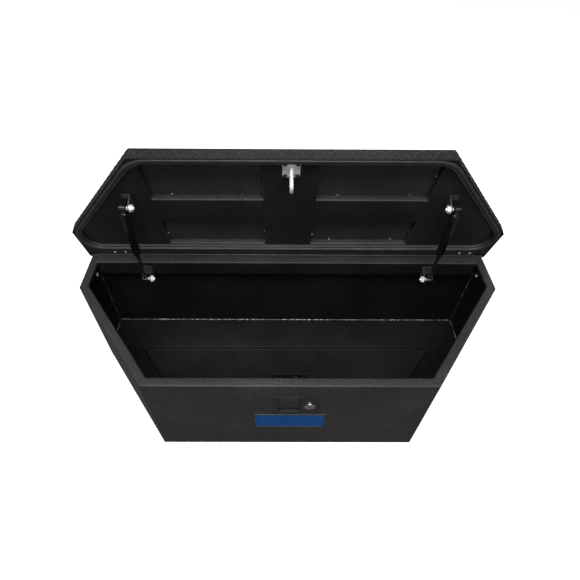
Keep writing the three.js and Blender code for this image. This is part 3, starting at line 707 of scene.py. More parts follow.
def bead(solid, path, inward, up, radius, seed):
    """A weld bead in the corner between two sheets: a rippled fillet along a path."""
    wander = random.Random(seed)
    length = sum((b - a).length for a, b in zip(path, path[1:]))
    count = max(6, int(length / (2.0 * MM)))
    rings = []
    marks = [0.0]
    for a, b in zip(path, path[1:]):
        marks.append(marks[-1] + (b - a).length)
    phase = wander.uniform(0, 10)
    for k in range(count + 1):
        at = length * k / count
        leg = max(i for i in range(len(path) - 1) if marks[i] <= at + 1e-9)
        share = (at - marks[leg]) / max(1e-9, marks[leg + 1] - marks[leg])
        centre = path[leg].lerp(path[leg + 1], min(1.0, share))
        ripple = 1 + 0.10 * math.sin(at / (2.1 * MM)) + 0.28 * noise(Vector((at / (9 * MM), phase, 0)))
        ripple += 0.16 * noise(Vector((at / (3 * MM), phase, 5)))
        size = radius * max(0.35, ripple) * (0.5 if k in (0, count) else 1)
        ring = []
        for i in range(6):
            angle = math.radians(-12 + 114 * i / 5)
            ring.append(centre + inward * size * math.cos(angle) + up * size * math.sin(angle))
        ring.append(centre - inward * 0.3 * MM - up * 0.3 * MM)
        rings.append(ring)
    solid.loft(rings)


def build_welds():
    """Beads where the floor meets the walls and where the rear wall meets the sides."""
    inside = hexagon(SHEET)
    floor = [Vector((p.x, p.y, FLOOR_Z)) for p in inside]
    solid = Solid()
    for i, (a, b) in enumerate(zip(floor, floor[1:] + floor[:1])):
        way = (b - a).normalized()
        inward = Vector((-way.y, way.x, 0))
        bead(solid, [a + way * 3 * MM, b - way * 3 * MM], inward, Vector((0, 0, 1)), 2.2 * MM, 11 + i)
    for sign in (-1, 1):
        corner = Vector((sign * (HALF_WIDTH - SHEET), REAR_Y - SHEET, 0))
        path = [corner + Vector((0, 0, FLOOR_Z + 3 * MM)), corner + Vector((0, 0, TOP_Z - 4 * MM))]
        bead(solid, path, Vector((-sign, 0, 0)), Vector((0, -1, 0)), 1.9 * MM, 31 + sign)
    solid.done("weld_beads", "root", WELD, slot="powder_coat", angle=60)


# ---------------------------------------------------------------- hinge

def build_hinge():
    knuckles = 39
    pitch = 2 * HINGE_HALF / knuckles
    ring = 14
    profile = [(1.5 * MM, 0.25 * MM), (BARREL_R - 0.3 * MM, 0.25 * MM), (BARREL_R, 0.55 * MM),
               (BARREL_R, pitch - 0.55 * MM), (BARREL_R - 0.3 * MM, pitch - 0.25 * MM),
               (1.5 * MM, pitch - 0.25 * MM)]
    for body, odd, z0, node in (("root", 0, HINGE.z - BARREL_R, "hinge_leaf_body"),
                                ("lid", 1, FRAME_Z - GAP - LEAF, "hinge_leaf_lid")):
        solid = Solid()
        outline = rectangle(LEAF_FRONT, HINGE.y - 2.2 * MM, z0, z0 + LEAF)
        solid.slab(rounded(outline, 0.35 * MM, 3), -HINGE_HALF, HINGE_HALF, along_x(), 0.3 * MM)
        for i in range(odd, knuckles, 2):
            start = -HINGE_HALF + i * pitch
            solid.lathe(profile, along_x(start, HINGE.y, HINGE.z), ring)
            tongue = rectangle(HINGE.y - 2.6 * MM, HINGE.y - 0.4 * MM, z0 + 0.05 * MM, z0 + LEAF - 0.05 * MM)
            solid.slab(tongue, start + 0.4 * MM, start + pitch - 0.4 * MM, along_x(), 0.2 * MM)
        solid.done(node + "_rolled", body, COAT, [node], "powder_coat")
    pin = Solid().lathe([(0, 0), (1.0 * MM, 0), (1.3 * MM, 0.5 * MM), (1.3 * MM, 2 * HINGE_HALF - 0.5 * MM),
                         (1.0 * MM, 2 * HINGE_HALF), (0, 2 * HINGE_HALF)],
                         along_x(-HINGE_HALF, HINGE.y, HINGE.z), 12)
    pin.done("hinge_pin_rod", "root", ZINC, ["hinge_pin"], "zinc")
    rivets = Solid()
    head = vectors([(0, -0.8), (1.6, -0.75), (2.6, -0.4), (3.0, 0), (3.0, 0.4), (0, 0.4)])
    for x in (-427, -401, 427, 452):
        rivets.lathe([tuple(p * MM) for p in head], along_z(x * MM, 163 * MM, FRAME_Z - GAP - LEAF), 16)
    rivets.done("hinge_rivets", "lid", ZINC, slot="zinc")


# ---------------------------------------------------------------- lid

def lid_ring(inset, radius, steps=6):
    """The lid's plan moved inwards from its skin, with extra points where the rear skirt's foot steps up."""
    ring = hexagon(inset + BAR_RISE - OVERHANG)
    points = []
    for i, corner in enumerate(ring):
        arc = fillet(ring[i - 1], corner, ring[(i + 1) % 6], max(0.4 * MM, radius - inset), steps)
        inboard = Vector((-math.copysign(1, corner.x), 0))
        step = [corner + inboard * 4 * MM, corner + inboard * 5 * MM]
        points += (step[::-1] if i == 4 else []) + arc + (step if i == 3 else [])
    return points


def skirt_foot(point):
    on_rear = point.y > REAR_Y and abs(point.x) < HALF_WIDTH + OVERHANG - 6 * MM
    return REAR_SKIRT_Z if on_rear else LID_BOTTOM


LOZENGE_PITCH = 19 * MM
LOZENGE = (22 * MM, 6.2 * MM, 1.0 * MM)
BAR_SUNK = 0.4 * MM
BAR_RISE = LOZENGE[2] - BAR_SUNK
SKIN_TOP = LID_TOP - BAR_RISE


def lozenge(solid, centre, angle, place, keep_in):
    """One raised bar of the tread pattern. keep_in moves a point back inside the sheet's limits."""
    length, width, height = LOZENGE
    rings = []
    count = 12
    for scale, lift in ((1.0, -0.25), (0.96, 0.12), (0.8, 0.72), (0.5, 0.97), (0.2, 1.0)):
        ring = []
        for k in range(count):
            turn = 2 * math.pi * k / count
            along = math.copysign(abs(math.cos(turn)) ** 1.35,
                                  math.cos(turn)) * length / 2 * (0.7 + 0.3 * scale)
            across = math.sin(turn) * width / 2 * scale
            u = centre.x + along * math.cos(angle) - across * math.sin(angle)
            v = centre.y + along * math.sin(angle) + across * math.cos(angle)
            u, v = keep_in(u, v)
            ring.append(place(u, v, lift * height))
        rings.append(ring)
    solid.loft(rings)


def inside_polygon(ring):
    """A function that moves a point back inside a convex outline."""
    sides = []
    for i, a in enumerate(ring):
        b = ring[(i + 1) % len(ring)]
        way = (b - a).normalized()
        sides.append((a, Vector((-way.y, way.x))))

    def keep(u, v):
        point = Vector((u, v))
        for a, n in sides:
            depth = (point - a).dot(n)
            if depth < 0:
                point -= n * depth
        return point.x, point.y
    return keep


def build_lid_shell():
    """Tread plate: a flat top bent down into a skirt, with raised bars over both."""
    bend = 3 * MM
    rings = []

    def add(inset, height, foot=None):
        points = lid_ring(inset, bend)
        rings.append([(p.x, p.y, height if foot is None else skirt_foot(p) + foot) for p in points])
    add(SHEET + 14 * MM, SKIN_TOP - SHEET)
    for i in range(6):
        turn = math.radians(90 * i / 5)
        add(bend - (bend - SHEET) * math.sin(turn), SKIN_TOP - bend + (bend - SHEET) * math.cos(turn))
    add(SHEET, 0, 0.4 * MM)
    add(SHEET * 0.75, 0, 0.0)
    add(SHEET * 0.25, 0, 0.0)
    add(0, 0, 0.4 * MM)
    for i in range(6):
        turn = math.radians(90 * (1 - i / 5))
        add(bend - bend * math.sin(turn), SKIN_TOP - bend + bend * math.cos(turn))
    add(SHEET + 14 * MM, SKIN_TOP)
    solid = Solid()
    solid.loft(rings)
    plan = hexagon(4 * MM - OVERHANG)
    keep = inside_polygon(plan)
    reach = int(HALF_WIDTH / LOZENGE_PITCH) + 2
    for i in range(-reach, reach + 1):
        for j in range(-reach, reach + 1):
            centre = Vector((i * LOZENGE_PITCH, j * LOZENGE_PITCH))
            if (Vector(keep(centre.x, centre.y)) - centre).length > 2 * MM:
                continue
            lozenge(solid, centre, math.radians(45 if (i + j) % 2 else -45),
                    lambda u, v, w: (u, v, SKIN_TOP - BAR_SUNK + w), keep)
    skin = hexagon(BAR_RISE - OVERHANG)
    for i, a in enumerate(skin):
        b = skin[(i + 1) % 6]
        length = (b - a).length
        way = (b - a).normalized()
        out = Vector((way.y, -way.x))
        bottom = (LID_BOTTOM if i != 3 else REAR_SKIRT_Z) + 1.5 * MM
        fit = inside_polygon(rectangle(4 * MM, length - 4 * MM, bottom, LID_TOP - 3.5 * MM))
        for k in range(int(length / LOZENGE_PITCH) + 1):
            for row in (-1, 0, 1):
                centre = Vector(((k + 0.5) * LOZENGE_PITCH,
                                 (bottom + LID_TOP) / 2 - MM + row * LOZENGE_PITCH))
                if (Vector(fit(centre.x, centre.y)) - centre).length > 9 * MM:
                    continue
                lozenge(solid, centre, math.radians(45 if (k + row) % 2 else -45),
                        lambda u, v, w: (*(a + way * u + out * (w - BAR_SUNK)), v), fit)
    shell = solid.done("lid_tread_shell", "lid", TREAD, ["lid_shell"], "tread_coat", angle=38)
    # Painted light: the underside of the skin between the stiffeners gets a lighter copy of the coat.
    roof = LID_SHUT_TO_OPEN @ Vector((0, 0, SKIN_TOP - SHEET / 2))
    repaint(shell, LID_SKIN_PAINTED_LIGHT, lambda centre,
            normal: normal.dot(LID_DOWN) > 0.9 and (centre - roof).dot(LID_DOWN) < 2 * MM)


def seal_ring(inset, steps=12):
    """The seal's rounded plan, moved inwards from its outer edge."""
    ring = hexagon(SEAL_OUT + inset, SEAL_OUT + inset, REAR_Y - SEAL_REAR + inset)
    radii = [radius + SEAL_WIDTH - inset for radius in SEAL_CORNERS]
    return rounded(ring, radii, steps)


def build_lid_frame():
    """Flange round the skirt's foot, its inner edge turned up towards the lid's skin."""
    edge = FRAME_EDGE - SEAL_OUT
    side = SHEET - OVERHANG + CLEAR
    outer = rounded(hexagon(side, side, REAR_Y - FRAME_REAR), 1.6 * MM, 3)
    solid = Solid()
    solid.slab(outer, FRAME_Z, FRAME_Z + SHEET, along_z(), 0.3 * MM, [seal_ring(edge - 3 * MM)])
    section = strip([(edge - 4 * MM, FRAME_Z + HALF), (edge + HALF, FRAME_Z + HALF),
                     (edge + HALF, FACE_Z - 0.6 * MM)], SHEET, 1.6 * MM)
    solid.ring([[(p.x, p.y, at.y) for p in seal_ring(at.x)] for at in section])
    paint_shade_on_down_faces(solid.done("lid_flange", "lid", COAT, ["lid_frame"], "powder_coat"))


def build_seal():
    """Extruded rubber seal: a flat base with a hollow-looking bulb and a thin wiping lip."""
    z1 = FRAME_Z - 0.15 * MM
    z0 = TOP_Z + GAP
    points = [(0.3 * MM, z1), (0.2 * MM, z1 - 1.0 * MM), (1.2 * MM, z1 - 1.5 * MM)]
    for i in range(9):
        turn = math.radians(180 * i / 8)
        points.append((5.6 * MM - 3.9 * MM * math.cos(turn),
                       z1 - 1.4 * MM - (z1 - z0 - 1.5 * MM) * math.sin(turn)))
    points += [(10.3 * MM, z1 - 1.5 * MM), (12.6 * MM, z1 - 2.3 * MM), (12.9 * MM, z1 - 1.8 * MM),
               (12.4 * MM, z1)]
    solid = Solid()
    solid.ring([[(p.x, p.y, z) for p in seal_ring(inset)] for inset, z in points])
    solid.done("door_seal", "lid", RUBBER, ["lid_seal"], "rubber", angle=50)


def stiffener(section, lo, hi, place):
    return Solid().loft([[place(p.x, p.y, w) for p in section] for w in (lo, hi)])


def build_channel_and_ribs():
    top = SKIN_TOP - SHEET - CLEAR
    c = CHANNEL_HALF - HALF
    y0 = low_shut_front() + 0.6 * MM
    channel = strip([(-c, top), (-c, FACE_Z + HALF), (c, FACE_Z + HALF), (c, top)], SHEET, 2.4 * MM)
    paint_shade_on_down_faces(stiffener(channel, y0, RIB_END, along_y()).done(
        "lid_centre_channel", "lid", COAT, ["lid_channel"], "powder_coat"))
    x0, x1 = CHANNEL_HALF + CLEAR, PAN_START - CLEAR
    for y_a, y_b, kind in ((RIB_FRONT, RIB_REAR, "front_rib"), (REAR_RIB_FRONT, RIB_END, "rear_rib")):
        rib = strip([(y_a + HALF, top), (y_a + HALF, FACE_Z + HALF), (y_b - HALF, FACE_Z + HALF),
                     (y_b - HALF, top)],
                    SHEET, 2.4 * MM)
        for side in ("left", "right"):
            paint_shade_on_down_faces(stiffener(rib, x0, x1, along_x()).done(
                f"{kind}_hat_{side}", "lid", COAT, [f"{kind}_{side}"], "powder_coat", mirror=side == "left"))


def paint_shade_on_down_faces(piece):
    """Paints shade: the broad faces that look down out of the lid get a darker copy of the coat."""
    repaint(piece, LID_FACE_PAINTED_SHADE, lambda centre, normal: normal.dot(LID_DOWN) > 0.97)


def low_shut_front():
    return FRONT_Y - OVERHANG + SHEET


def build_end_pans():
    top = SKIN_TOP - SHEET - CLEAR
    limit = hexagon(SHEET - OVERHANG + 0.2 * MM)
    corner, stub = limit[1], limit[2]

    def reach(y):
        if y > stub.y:
            return stub.x
        return corner.x + (y - corner.y) / (stub.y - corner.y) * (stub.x - corner.x)
    rows = []
    for y in (corner.y + 0.4 * MM, stub.y, RIB_END):
        section = strip([(PAN_START + HALF, top), (PAN_START + HALF, FACE_Z + HALF),
                         (reach(y), FACE_Z + HALF)],
                        SHEET, 2.4 * MM)
        rows.append([(p.x, y, p.y) for p in section])
    for side in ("left", "right"):
        paint_shade_on_down_faces(Solid().loft(rows).done(
            f"end_pan_pressing_{side}", "lid", COAT, [f"end_pan_{side}"], "powder_coat",
            mirror=side == "left"))


def build_lid_tacks():
    """Tack welds along the stiffeners."""
    solid = Solid()
    skin = SKIN_TOP - SHEET

    def tack(x, y, z):
        wander = random.Random(int(x * 7919 + y * 104729 + 5e5))
        r = 3.2 * MM
        rings = []
        for scale, lift in ((1.0, 0.5), (1.05, 0.0), (0.85, -0.4), (0.5, -0.62), (0.15, -0.7)):
            rings.append([(x + r * scale * math.cos(t) * wander.uniform(0.93, 1.07),
                           y + r * 0.8 * scale * math.sin(t), z + lift * r)
                          for t in (2 * math.pi * k / 12 for k in range(12))])
        solid.loft(rings)
    for x in (-245, -99, 100, 250):
        tack(x * MM, RIB_FRONT - MM, skin - MM)
        tack(x * MM, REAR_RIB_FRONT - MM, skin - MM)
    for x in (-236, -106):
        tack(x * MM, RIB_REAR + MM, skin - MM)
    for side, places in ((-1, (-124, 47, 108)), (1, (-109, 98, -20))):
        for y in places:
            tack(side * (PAN_START - MM), y * MM, skin - 1.5 * MM)
    for side, places in ((-1, (-114, -58, 96)), (1, (-130, 55, 112))):
        for y in places:
            tack(side * (CHANNEL_HALF + MM), y * MM, skin - 1.5 * MM)
    solid.done("lid_tack_welds", "lid", WELD, slot="powder_coat", angle=60)


# ---------------------------------------------------------------- striker

def shut(node):
    """Lowest and highest corner of a lid node with the lid shut."""
    back = LID_SHUT_TO_OPEN.inverted()
    points = [back @ v.co for v in frame["nodes"][node].data.vertices]
    return (Vector([min(p[i] for p in points) for i in range(3)]),
            Vector([max(p[i] for p in points) for i in range(3)]))


def pan_head(solid, x, y, z, radius, height):
    """Screw head with a cross recess, standing down from z."""
    outline = []
    arm, wide = radius * 0.55, radius * 0.13
    for k in range(4):
        turn = Matrix.Rotation(-math.pi / 2 * k, 2)
        outline += [turn @ Vector((arm, -wide)), turn @ Vector((arm, wide)), turn @ Vector((wide, wide))]
    cross = [Vector((x, y)) + p for p in outline]
    solid.slab(circle(x, y, radius, 24), z - height, z, along_z(), height * 0.35, [cross])
    solid.slab(circle(x, y, radius * 0.7, 16), z - height * 0.45, z, along_z(), 0.05 * MM)


def build_striker():
    lo, hi = shut("striker_plate")
    screws = [shut(f"striker_screw_{i}") for i in (1, 2, 3, 4)]
    outline = rounded(rectangle(lo.x, hi.x, lo.y, hi.y), 4 * MM, 6)
    holes = [circle((a.x + b.x) / 2, (a.y + b.y) / 2, 2.6 * MM, 16) for a, b in screws]
    Solid().slab(outline, lo.z, hi.z, along_z(), 0.4 * MM, holes).done(
        "striker_base", "lid", ZINC, ["striker_plate"], "zinc")
    for i, (a, b) in enumerate(screws, 1):
        solid = Solid()
        x, y = (a.x + b.x) / 2, (a.y + b.y) / 2
        pan_head(solid, x, y, lo.z, 4.2 * MM, 2.2 * MM)
        solid.lathe([(0, 0), (1.9 * MM, 0), (1.9 * MM, 3 * MM), (0, 3 * MM)], along_z(x, y, lo.z - 0.5 * MM),
                    16)
        solid.done(f"striker_screw_head_{i}", "lid", BLACK, [f"striker_screw_{i}"], "black_oxide")
    loop_lo, loop_hi = shut("striker_loop")
    r = (loop_hi.x - loop_lo.x) / 2
    y0, y1, z0, top = loop_lo.y + r, loop_hi.y - r, loop_lo.z + r, lo.z - CLEAR
    path = [Vector((y0, top))]
    corners = vectors([(y0, top), (y0, z0), (y1, z0), (y1, top)])
    path += fillet(corners[0], corners[1], corners[2], 8 * MM, 8)
    path += fillet(corners[1], corners[2], corners[3], 8 * MM, 8)
    path.append(Vector((y1, top)))
    rings = []
    for i, here in enumerate(path):
        way = (path[min(i + 1, len(path) - 1)] - path[max(i - 1, 0)]).normalized()
        side = Vector((-way.y, way.x))
        rings.append([(r * math.sin(t), here.x + side.x * r * math.cos(t), here.y + side.y * r * math.cos(t))
                      for t in (2 * math.pi * k / 16 for k in range(16))])
    solid = Solid().loft(rings)
    for y in (y0, y1):
        solid.lathe([(0, 0), (r + 1.6 * MM, 0), (r + 1.2 * MM, -1.0 * MM), (r + CLEAR, -2.0 * MM),
                     (0, -2.0 * MM)],
                    along_z(0, y, lo.z), 20)
    solid.done("striker_hoop", "lid", ZINC, ["striker_loop"], "zinc")


# ---------------------------------------------------------------- struts

REACH = 15 * MM
PLATE = 2 * MM
SHANK_R = 3.5 * MM
BALL_R = 5 * MM
SOCKET_R = 7 * MM
ROD_R = 4 * MM
TUBE_R = 9 * MM
TUBE_LENGTH = 138 * MM
TUBE_START = 12 * MM      # from the upper ball to the end of the tube
ROD_INSIDE = 100 * MM     # from the upper ball to the end of the rod inside the tube
NUT_DEPTH = 6.4 * MM
UPPER_BALL_X = 340 * MM


def hex_nut(solid, x, y, z, depth, across=13 * MM):
    """Nut with chamfered corners, its axis along X, ending at x and standing inboard."""
    r = across / 2 / math.cos(math.pi / 6)
    solid.slab(circle(0, 0, r, 6), 0, depth, along_x(x - depth, y, z), 0.8 * MM)
    solid.lathe([(0, 0), (SHANK_R - 0.4 * MM, 0), (SHANK_R, 0.6 * MM), (SHANK_R, 3 * MM), (0, 3 * MM)],
                along_x(x - depth - 2.2 * MM, y, z), 16)
    solid.lathe([(0, 0), (r * 1.1, 0), (r * 1.1, 0.8 * MM), (0, 0.8 * MM)], along_x(x - 0.8 * MM, y, z), 24)


def bracket_piece(ball, outline, foot, name, node, body, side):
    """A plate with a turned-out foot; foot is its section in X and the depth direction."""
    x = ball.x - REACH
    solid = Solid()
    hole = circle(ball.y, ball.z, SHANK_R + 0.3 * MM, 20)
    solid.slab(rounded(vectors(outline), 2.5 * MM, 4), x, x + PLATE, along_x(), 0.3 * MM, [hole])
    foot(solid, x)
    solid.done(name, body, DULL_ZINC, [node], "zinc", mirror=side < 0)


def stud_piece(ball, with_ball, name, node, body, side):
    x = ball.x
    shoulder = x - REACH + PLATE + CLEAR
    neck = x - SOCKET_R - 1 * MM
    profile = [(0, x - REACH - 9 * MM), (SHANK_R - 0.3 * MM, x - REACH - 9 * MM),
               (SHANK_R, x - REACH - 8.5 * MM),
               (SHANK_R, shoulder), (BALL_R, shoulder), (BALL_R + 0.4 * MM, shoulder + 0.5 * MM),
               (BALL_R, shoulder + 2.5 * MM), (3.2 * MM, neck)]
    if with_ball:
        profile += [(2.5 * MM, neck + 0.5 * MM), (2.5 * MM, x - 4.3 * MM)]
        profile += [(BALL_R * math.sin(math.radians(t)),
                     x - BALL_R * math.cos(math.radians(t))) for t in range(30, 181, 15)]
    else:
        profile.append((0, neck))
    Solid().lathe(profile, along_x(0, ball.y, ball.z), 20).done(
        name, body, ZINC, [node], "zinc", mirror=side < 0)


def build_mountings():
    """Brackets, ball studs and nuts of both struts."""
    for side, word in SIDES:
        pivot = JOINTS[f"{word}_strut_swing"]["pos_m"]
        ball = Vector((abs(pivot[0]), pivot[1], pivot[2]))
        face = REAR_Y - REAR_RIM - CLEAR
        y, z = ball.y, ball.z
        outline = [(y - 9 * MM, z - 8 * MM), (face, z - 11 * MM), (face, z + 17 * MM),
                   (y - 9 * MM, z + 9 * MM)]

        def rear_foot(solid, x):
            section = strip([(x + 1 * MM, face - 8 * MM), (x + 1 * MM, face - 1 * MM),
                             (x + 24 * MM, face - 1 * MM)],
                            PLATE, 1.8 * MM)
            solid.loft([[(p.x, p.y, w) for p in section] for w in (z - 11 * MM, z + 17 * MM)])
        bracket_piece(ball, outline, rear_foot, f"lower_bracket_plate_{word}", f"lower_bracket_{word}",
                      "root", side)
        stud_piece(ball, True, f"lower_ball_stud_{word}", f"lower_stud_{word}", "root", side)
        nut = Solid()
        hex_nut(nut, ball.x - REACH - CLEAR, y, z, NUT_DEPTH)
        nut.done(f"lower_hex_nut_{word}", "root", ZINC, [f"lower_nut_{word}"], "zinc", mirror=side < 0)

        lo, hi = shut(f"upper_nut_{word}")
        top = Vector((UPPER_BALL_X, (lo.y + hi.y) / 2, (lo.z + hi.z) / 2))
        y, z = top.y, top.z
        roof = FACE_Z - CLEAR
        outline = [(y - 13 * MM, roof), (y - 8 * MM, z - 9 * MM), (y + 8 * MM, z - 9 * MM),
                   (y + 13 * MM, roof)]

        def top_foot(solid, x):
            section = strip([(x + 1 * MM, roof - 8 * MM), (x + 1 * MM, roof - 1 * MM),
                             (x + 20 * MM, roof - 1 * MM)],
                            PLATE, 1.8 * MM)
            solid.loft([[(p.x, w, p.y) for p in section] for w in (y - 13 * MM, y - 1 * MM)])
        bracket_piece(top, outline, top_foot, f"upper_bracket_plate_{word}", f"upper_bracket_{word}", "lid",
                      side)
        stud_piece(top, False, f"upper_cut_stud_{word}", f"upper_stud_{word}", "lid", side)
        nut = Solid()
        hex_nut(nut, top.x - REACH - CLEAR, y, z, NUT_DEPTH)
        nut.done(f"upper_hex_nut_{word}", "lid", ZINC, [f"upper_nut_{word}"], "zinc", mirror=side < 0)


def build_struts():
    """Gas struts, modelled along +Z from the lower ball and then laid along their slide axis."""
    for side, word in SIDES:
        base = Vector(JOINTS[f"{word}_strut_swing"]["pos_m"])
        axis = Vector(JOINTS[f"{word}_strut_slide"]["axis"]).normalized()
        across = Vector((side, 0, 0))
        across = (across - axis * across.dot(axis)).normalized()
        other = axis.cross(across)
        far = high(f"tube_socket_{word}")
        near = low(f"tube_socket_{word}")
        length = ((far + near) / 2 - base).dot(axis) + 2.5 * MM

        def along(u, v, w):
            return base + across * u + other * v + axis * w

        def crosswise(height):
            return lambda u, v, w: along(w, u, height + v)
        tube_end = length - TUBE_START
        gland = tube_end - TUBE_LENGTH
        cup = [(0, -SOCKET_R), (SOCKET_R - 0.8 * MM, -SOCKET_R), (SOCKET_R, -SOCKET_R + 0.8 * MM),
               (SOCKET_R, SOCKET_R - 1.2 * MM), (SOCKET_R - 1.2 * MM, SOCKET_R), (0, SOCKET_R)]
        hollow = [(0, 5.5 * MM), (5.3 * MM, 5.5 * MM), (5.3 * MM, -SOCKET_R + 0.6 * MM),
                  (5.8 * MM, -SOCKET_R),
                  *cup[2:]]
        rod = Solid()
        rod.lathe(hollow, crosswise(0), 28)
        rod.lathe([(0, 5 * MM), (4.4 * MM, 5.5 * MM), (4.6 * MM, 9 * MM), (5.6 * MM, 9.6 * MM),
                   (5.6 * MM, 16.5 * MM),
                   (5.0 * MM, 17.2 * MM), (0, 17.2 * MM)], along, 24)
        rod.slab(circle(0, 0, 6.2 * MM, 6), 17.2 * MM, 20.4 * MM, along, 0.5 * MM)
        rod.done(f"rod_end_fitting_{word}", f"rod_{word}", BLACK, [f"rod_socket_{word}"], "black_oxide")
        clip = Solid()
        for turn in range(3):
            lift = (-3.4 + 2.2 * turn) * MM
            clip.lathe([(SOCKET_R - 0.2 * MM, lift), (SOCKET_R + 0.45 * MM, lift + 0.2 * MM),
                        (SOCKET_R + 0.45 * MM, lift + 0.8 * MM), (SOCKET_R - 0.2 * MM, lift + 1.0 * MM)],
                       crosswise(0), 28)
        clip.done(f"rod_clip_{word}", f"rod_{word}", CHROME, slot="chrome")
        top = length - ROD_INSIDE
        Solid().lathe([(0, 20.2 * MM), (ROD_R, 20.2 * MM), (ROD_R, top), (0, top)], along, 28).done(
            f"nitrided_rod_{word}", f"rod_{word}", BLACK, [f"strut_rod_{word}"], "black_oxide")
        r = TUBE_R
        groove = gland + 9 * MM
        profile = [(4.3 * MM, gland + 8 * MM), (4.3 * MM, gland), (5.2 * MM, gland),
                   (6.4 * MM, gland + 0.4 * MM), (r - 1.5 * MM, gland + 0.6 * MM),
                   (r - 0.5 * MM, gland + 1.6 * MM),
                   (r, gland + 3 * MM), (r, groove - 1.6 * MM), (r - 0.9 * MM, groove),
                   (r, groove + 1.6 * MM),
                   (r, tube_end - 7 * MM), (r - 0.4 * MM, tube_end - 4.5 * MM),
                   (r - 1.8 * MM, tube_end - 2 * MM),
                   (r - 3.6 * MM, tube_end - 0.6 * MM), (4.4 * MM, tube_end), (0, tube_end)]
        Solid().lathe(profile, along, 36).done(
            f"strut_cylinder_{word}", f"tube_{word}", STRUT, [f"strut_tube_{word}"], "strut_paint", angle=40)
        fitting = Solid()
        fitting.lathe(cup, crosswise(length), 28)
        fitting.lathe([(0, tube_end - 0.2 * MM), (4.2 * MM, tube_end - 0.2 * MM),
                       (5.4 * MM, tube_end + 0.6 * MM),
                       (5.4 * MM, tube_end + 4 * MM), (4.2 * MM, tube_end + 5 * MM),
                       (4.2 * MM, length - 4 * MM),
                       (0, length - 4 * MM)], along, 24)
        fitting.done(f"tube_end_fitting_{word}", f"tube_{word}", BLACK, [f"tube_socket_{word}"],
                     "black_oxide")


# ---------------------------------------------------------------- latch

def build_latch_plate():
    """Pressed plate with a raised border, a tray for the paddle and a bore for the lock."""
    lo, hi = PLATE_LOW, PLATE_HIGH
    face = lo.y
    back = FRONT_Y - CLEAR
    clip = 28 * MM
    corners = [(lo.x, lo.z), (hi.x, lo.z), (hi.x, hi.z - clip), (hi.x - 4 * MM, hi.z - clip + 5 * MM),
               (hi.x - clip - 4 * MM, hi.z - 2 * MM), (hi.x - clip - 10 * MM, hi.z), (lo.x, hi.z)]
    outline = rounded(vectors(corners), [3 * MM, 3 * MM, 4 * MM, 4 * MM, 4 * MM, 4 * MM, 3 * MM], 5)
    half = 25 * MM
    tray = rounded(rectangle(-half + 1.4 * MM, half - 1.4 * MM, lo.z + 11.4 * MM, hi.z - 5.4 * MM), 4 * MM, 6)
    bore = circle(LOCK.x, LOCK.z, 9.7 * MM, 32)
    solid = Solid()
    solid.slab(outline, face + 0.7 * MM, back, along_y(), 0.5 * MM, [tray, bore])
    solid.hoop(shrink(outline, 2.2 * MM), 2.4 * MM, face, face + MM, along_y(), 0.45 * MM)
    depth = FRONT_Y + 22 * MM
    wide = shrink(tray, -1.4 * MM)
    solid.hoop(wide, 1.4 * MM, back - 0.6 * MM, depth, along_y(), 0.3 * MM)
    solid.slab(wide, depth - 1.5 * MM, depth, along_y(), 0.3 * MM)
    solid.hoop(shrink(tray, -2.2 * MM), 2.5 * MM, face, face + 1.2 * MM, along_y(), 0.5 * MM)
    solid.done("latch_pressing", "root", LATCH, ["latch_plate"], "latch_black")


def build_paddle():
    lo, hi = PADDLE_LOW, PADDLE_HIGH
    face = FRONT_Y - 1 * MM
    y, z = PADDLE_PIN.y, PADDLE_PIN.z
    outline = rounded(rectangle(lo.x, hi.x, lo.z, hi.z), 5 * MM, 6)
    solid = Solid()
    solid.slab(outline, face, face + 2.5 * MM, along_y(), 0.9 * MM)
    dish = shrink(outline, 3.5 * MM)
    solid.slab(dish, face - 0.45 * MM, face + 0.6 * MM, along_y(), 0.4 * MM)
    lip = strip([(face + 1.2 * MM, lo.z + 8 * MM), (face + 1.2 * MM, lo.z + 1.2 * MM),
                 (face + 8 * MM, lo.z + 1.2 * MM)],
                2.4 * MM, 2.4 * MM)
    solid.loft([[(w, p.x, p.y) for p in lip] for w in (lo.x + 5 * MM, hi.x - 5 * MM)])
    ear = vectors([(face + 1 * MM, z - 8 * MM), (y, z - 4 * MM), (y + 4 * MM, z), (y, z + 4 * MM),
                   (face + 1 * MM, z + 4 * MM)])
    for x in (-15 * MM, 15 * MM):
        solid.slab(rounded(ear, 1.5 * MM, 4), x - 1.5 * MM, x + 1.5 * MM, along_x(), 0.3 * MM)
    tail = vectors([(face + 1 * MM, z - 12 * MM), (y + 2 * MM, z - 9 * MM), (FRONT_Y + 17 * MM, z - 9 * MM),
                    (FRONT_Y + 17 * MM, z - 6 * MM), (face + 1 * MM, z - 7 * MM)])
    solid.slab(rounded(tail, 0.8 * MM, 3), -3 * MM, 3 * MM, along_x(), 0.3 * MM)
    solid.done("paddle_pull_plate", "paddle", LATCH, ["paddle"], "latch_black")
    half = high("paddle_pin").x
    Solid().lathe([(0, -half), (1.6 * MM, -half), (2 * MM, -half + 0.4 * MM), (2 * MM, half - 0.4 * MM),
                   (1.6 * MM, half), (0, half)], along_x(0, y, z), 16).done(
        "paddle_hinge_pin", "root", ZINC, ["paddle_pin"], "zinc")


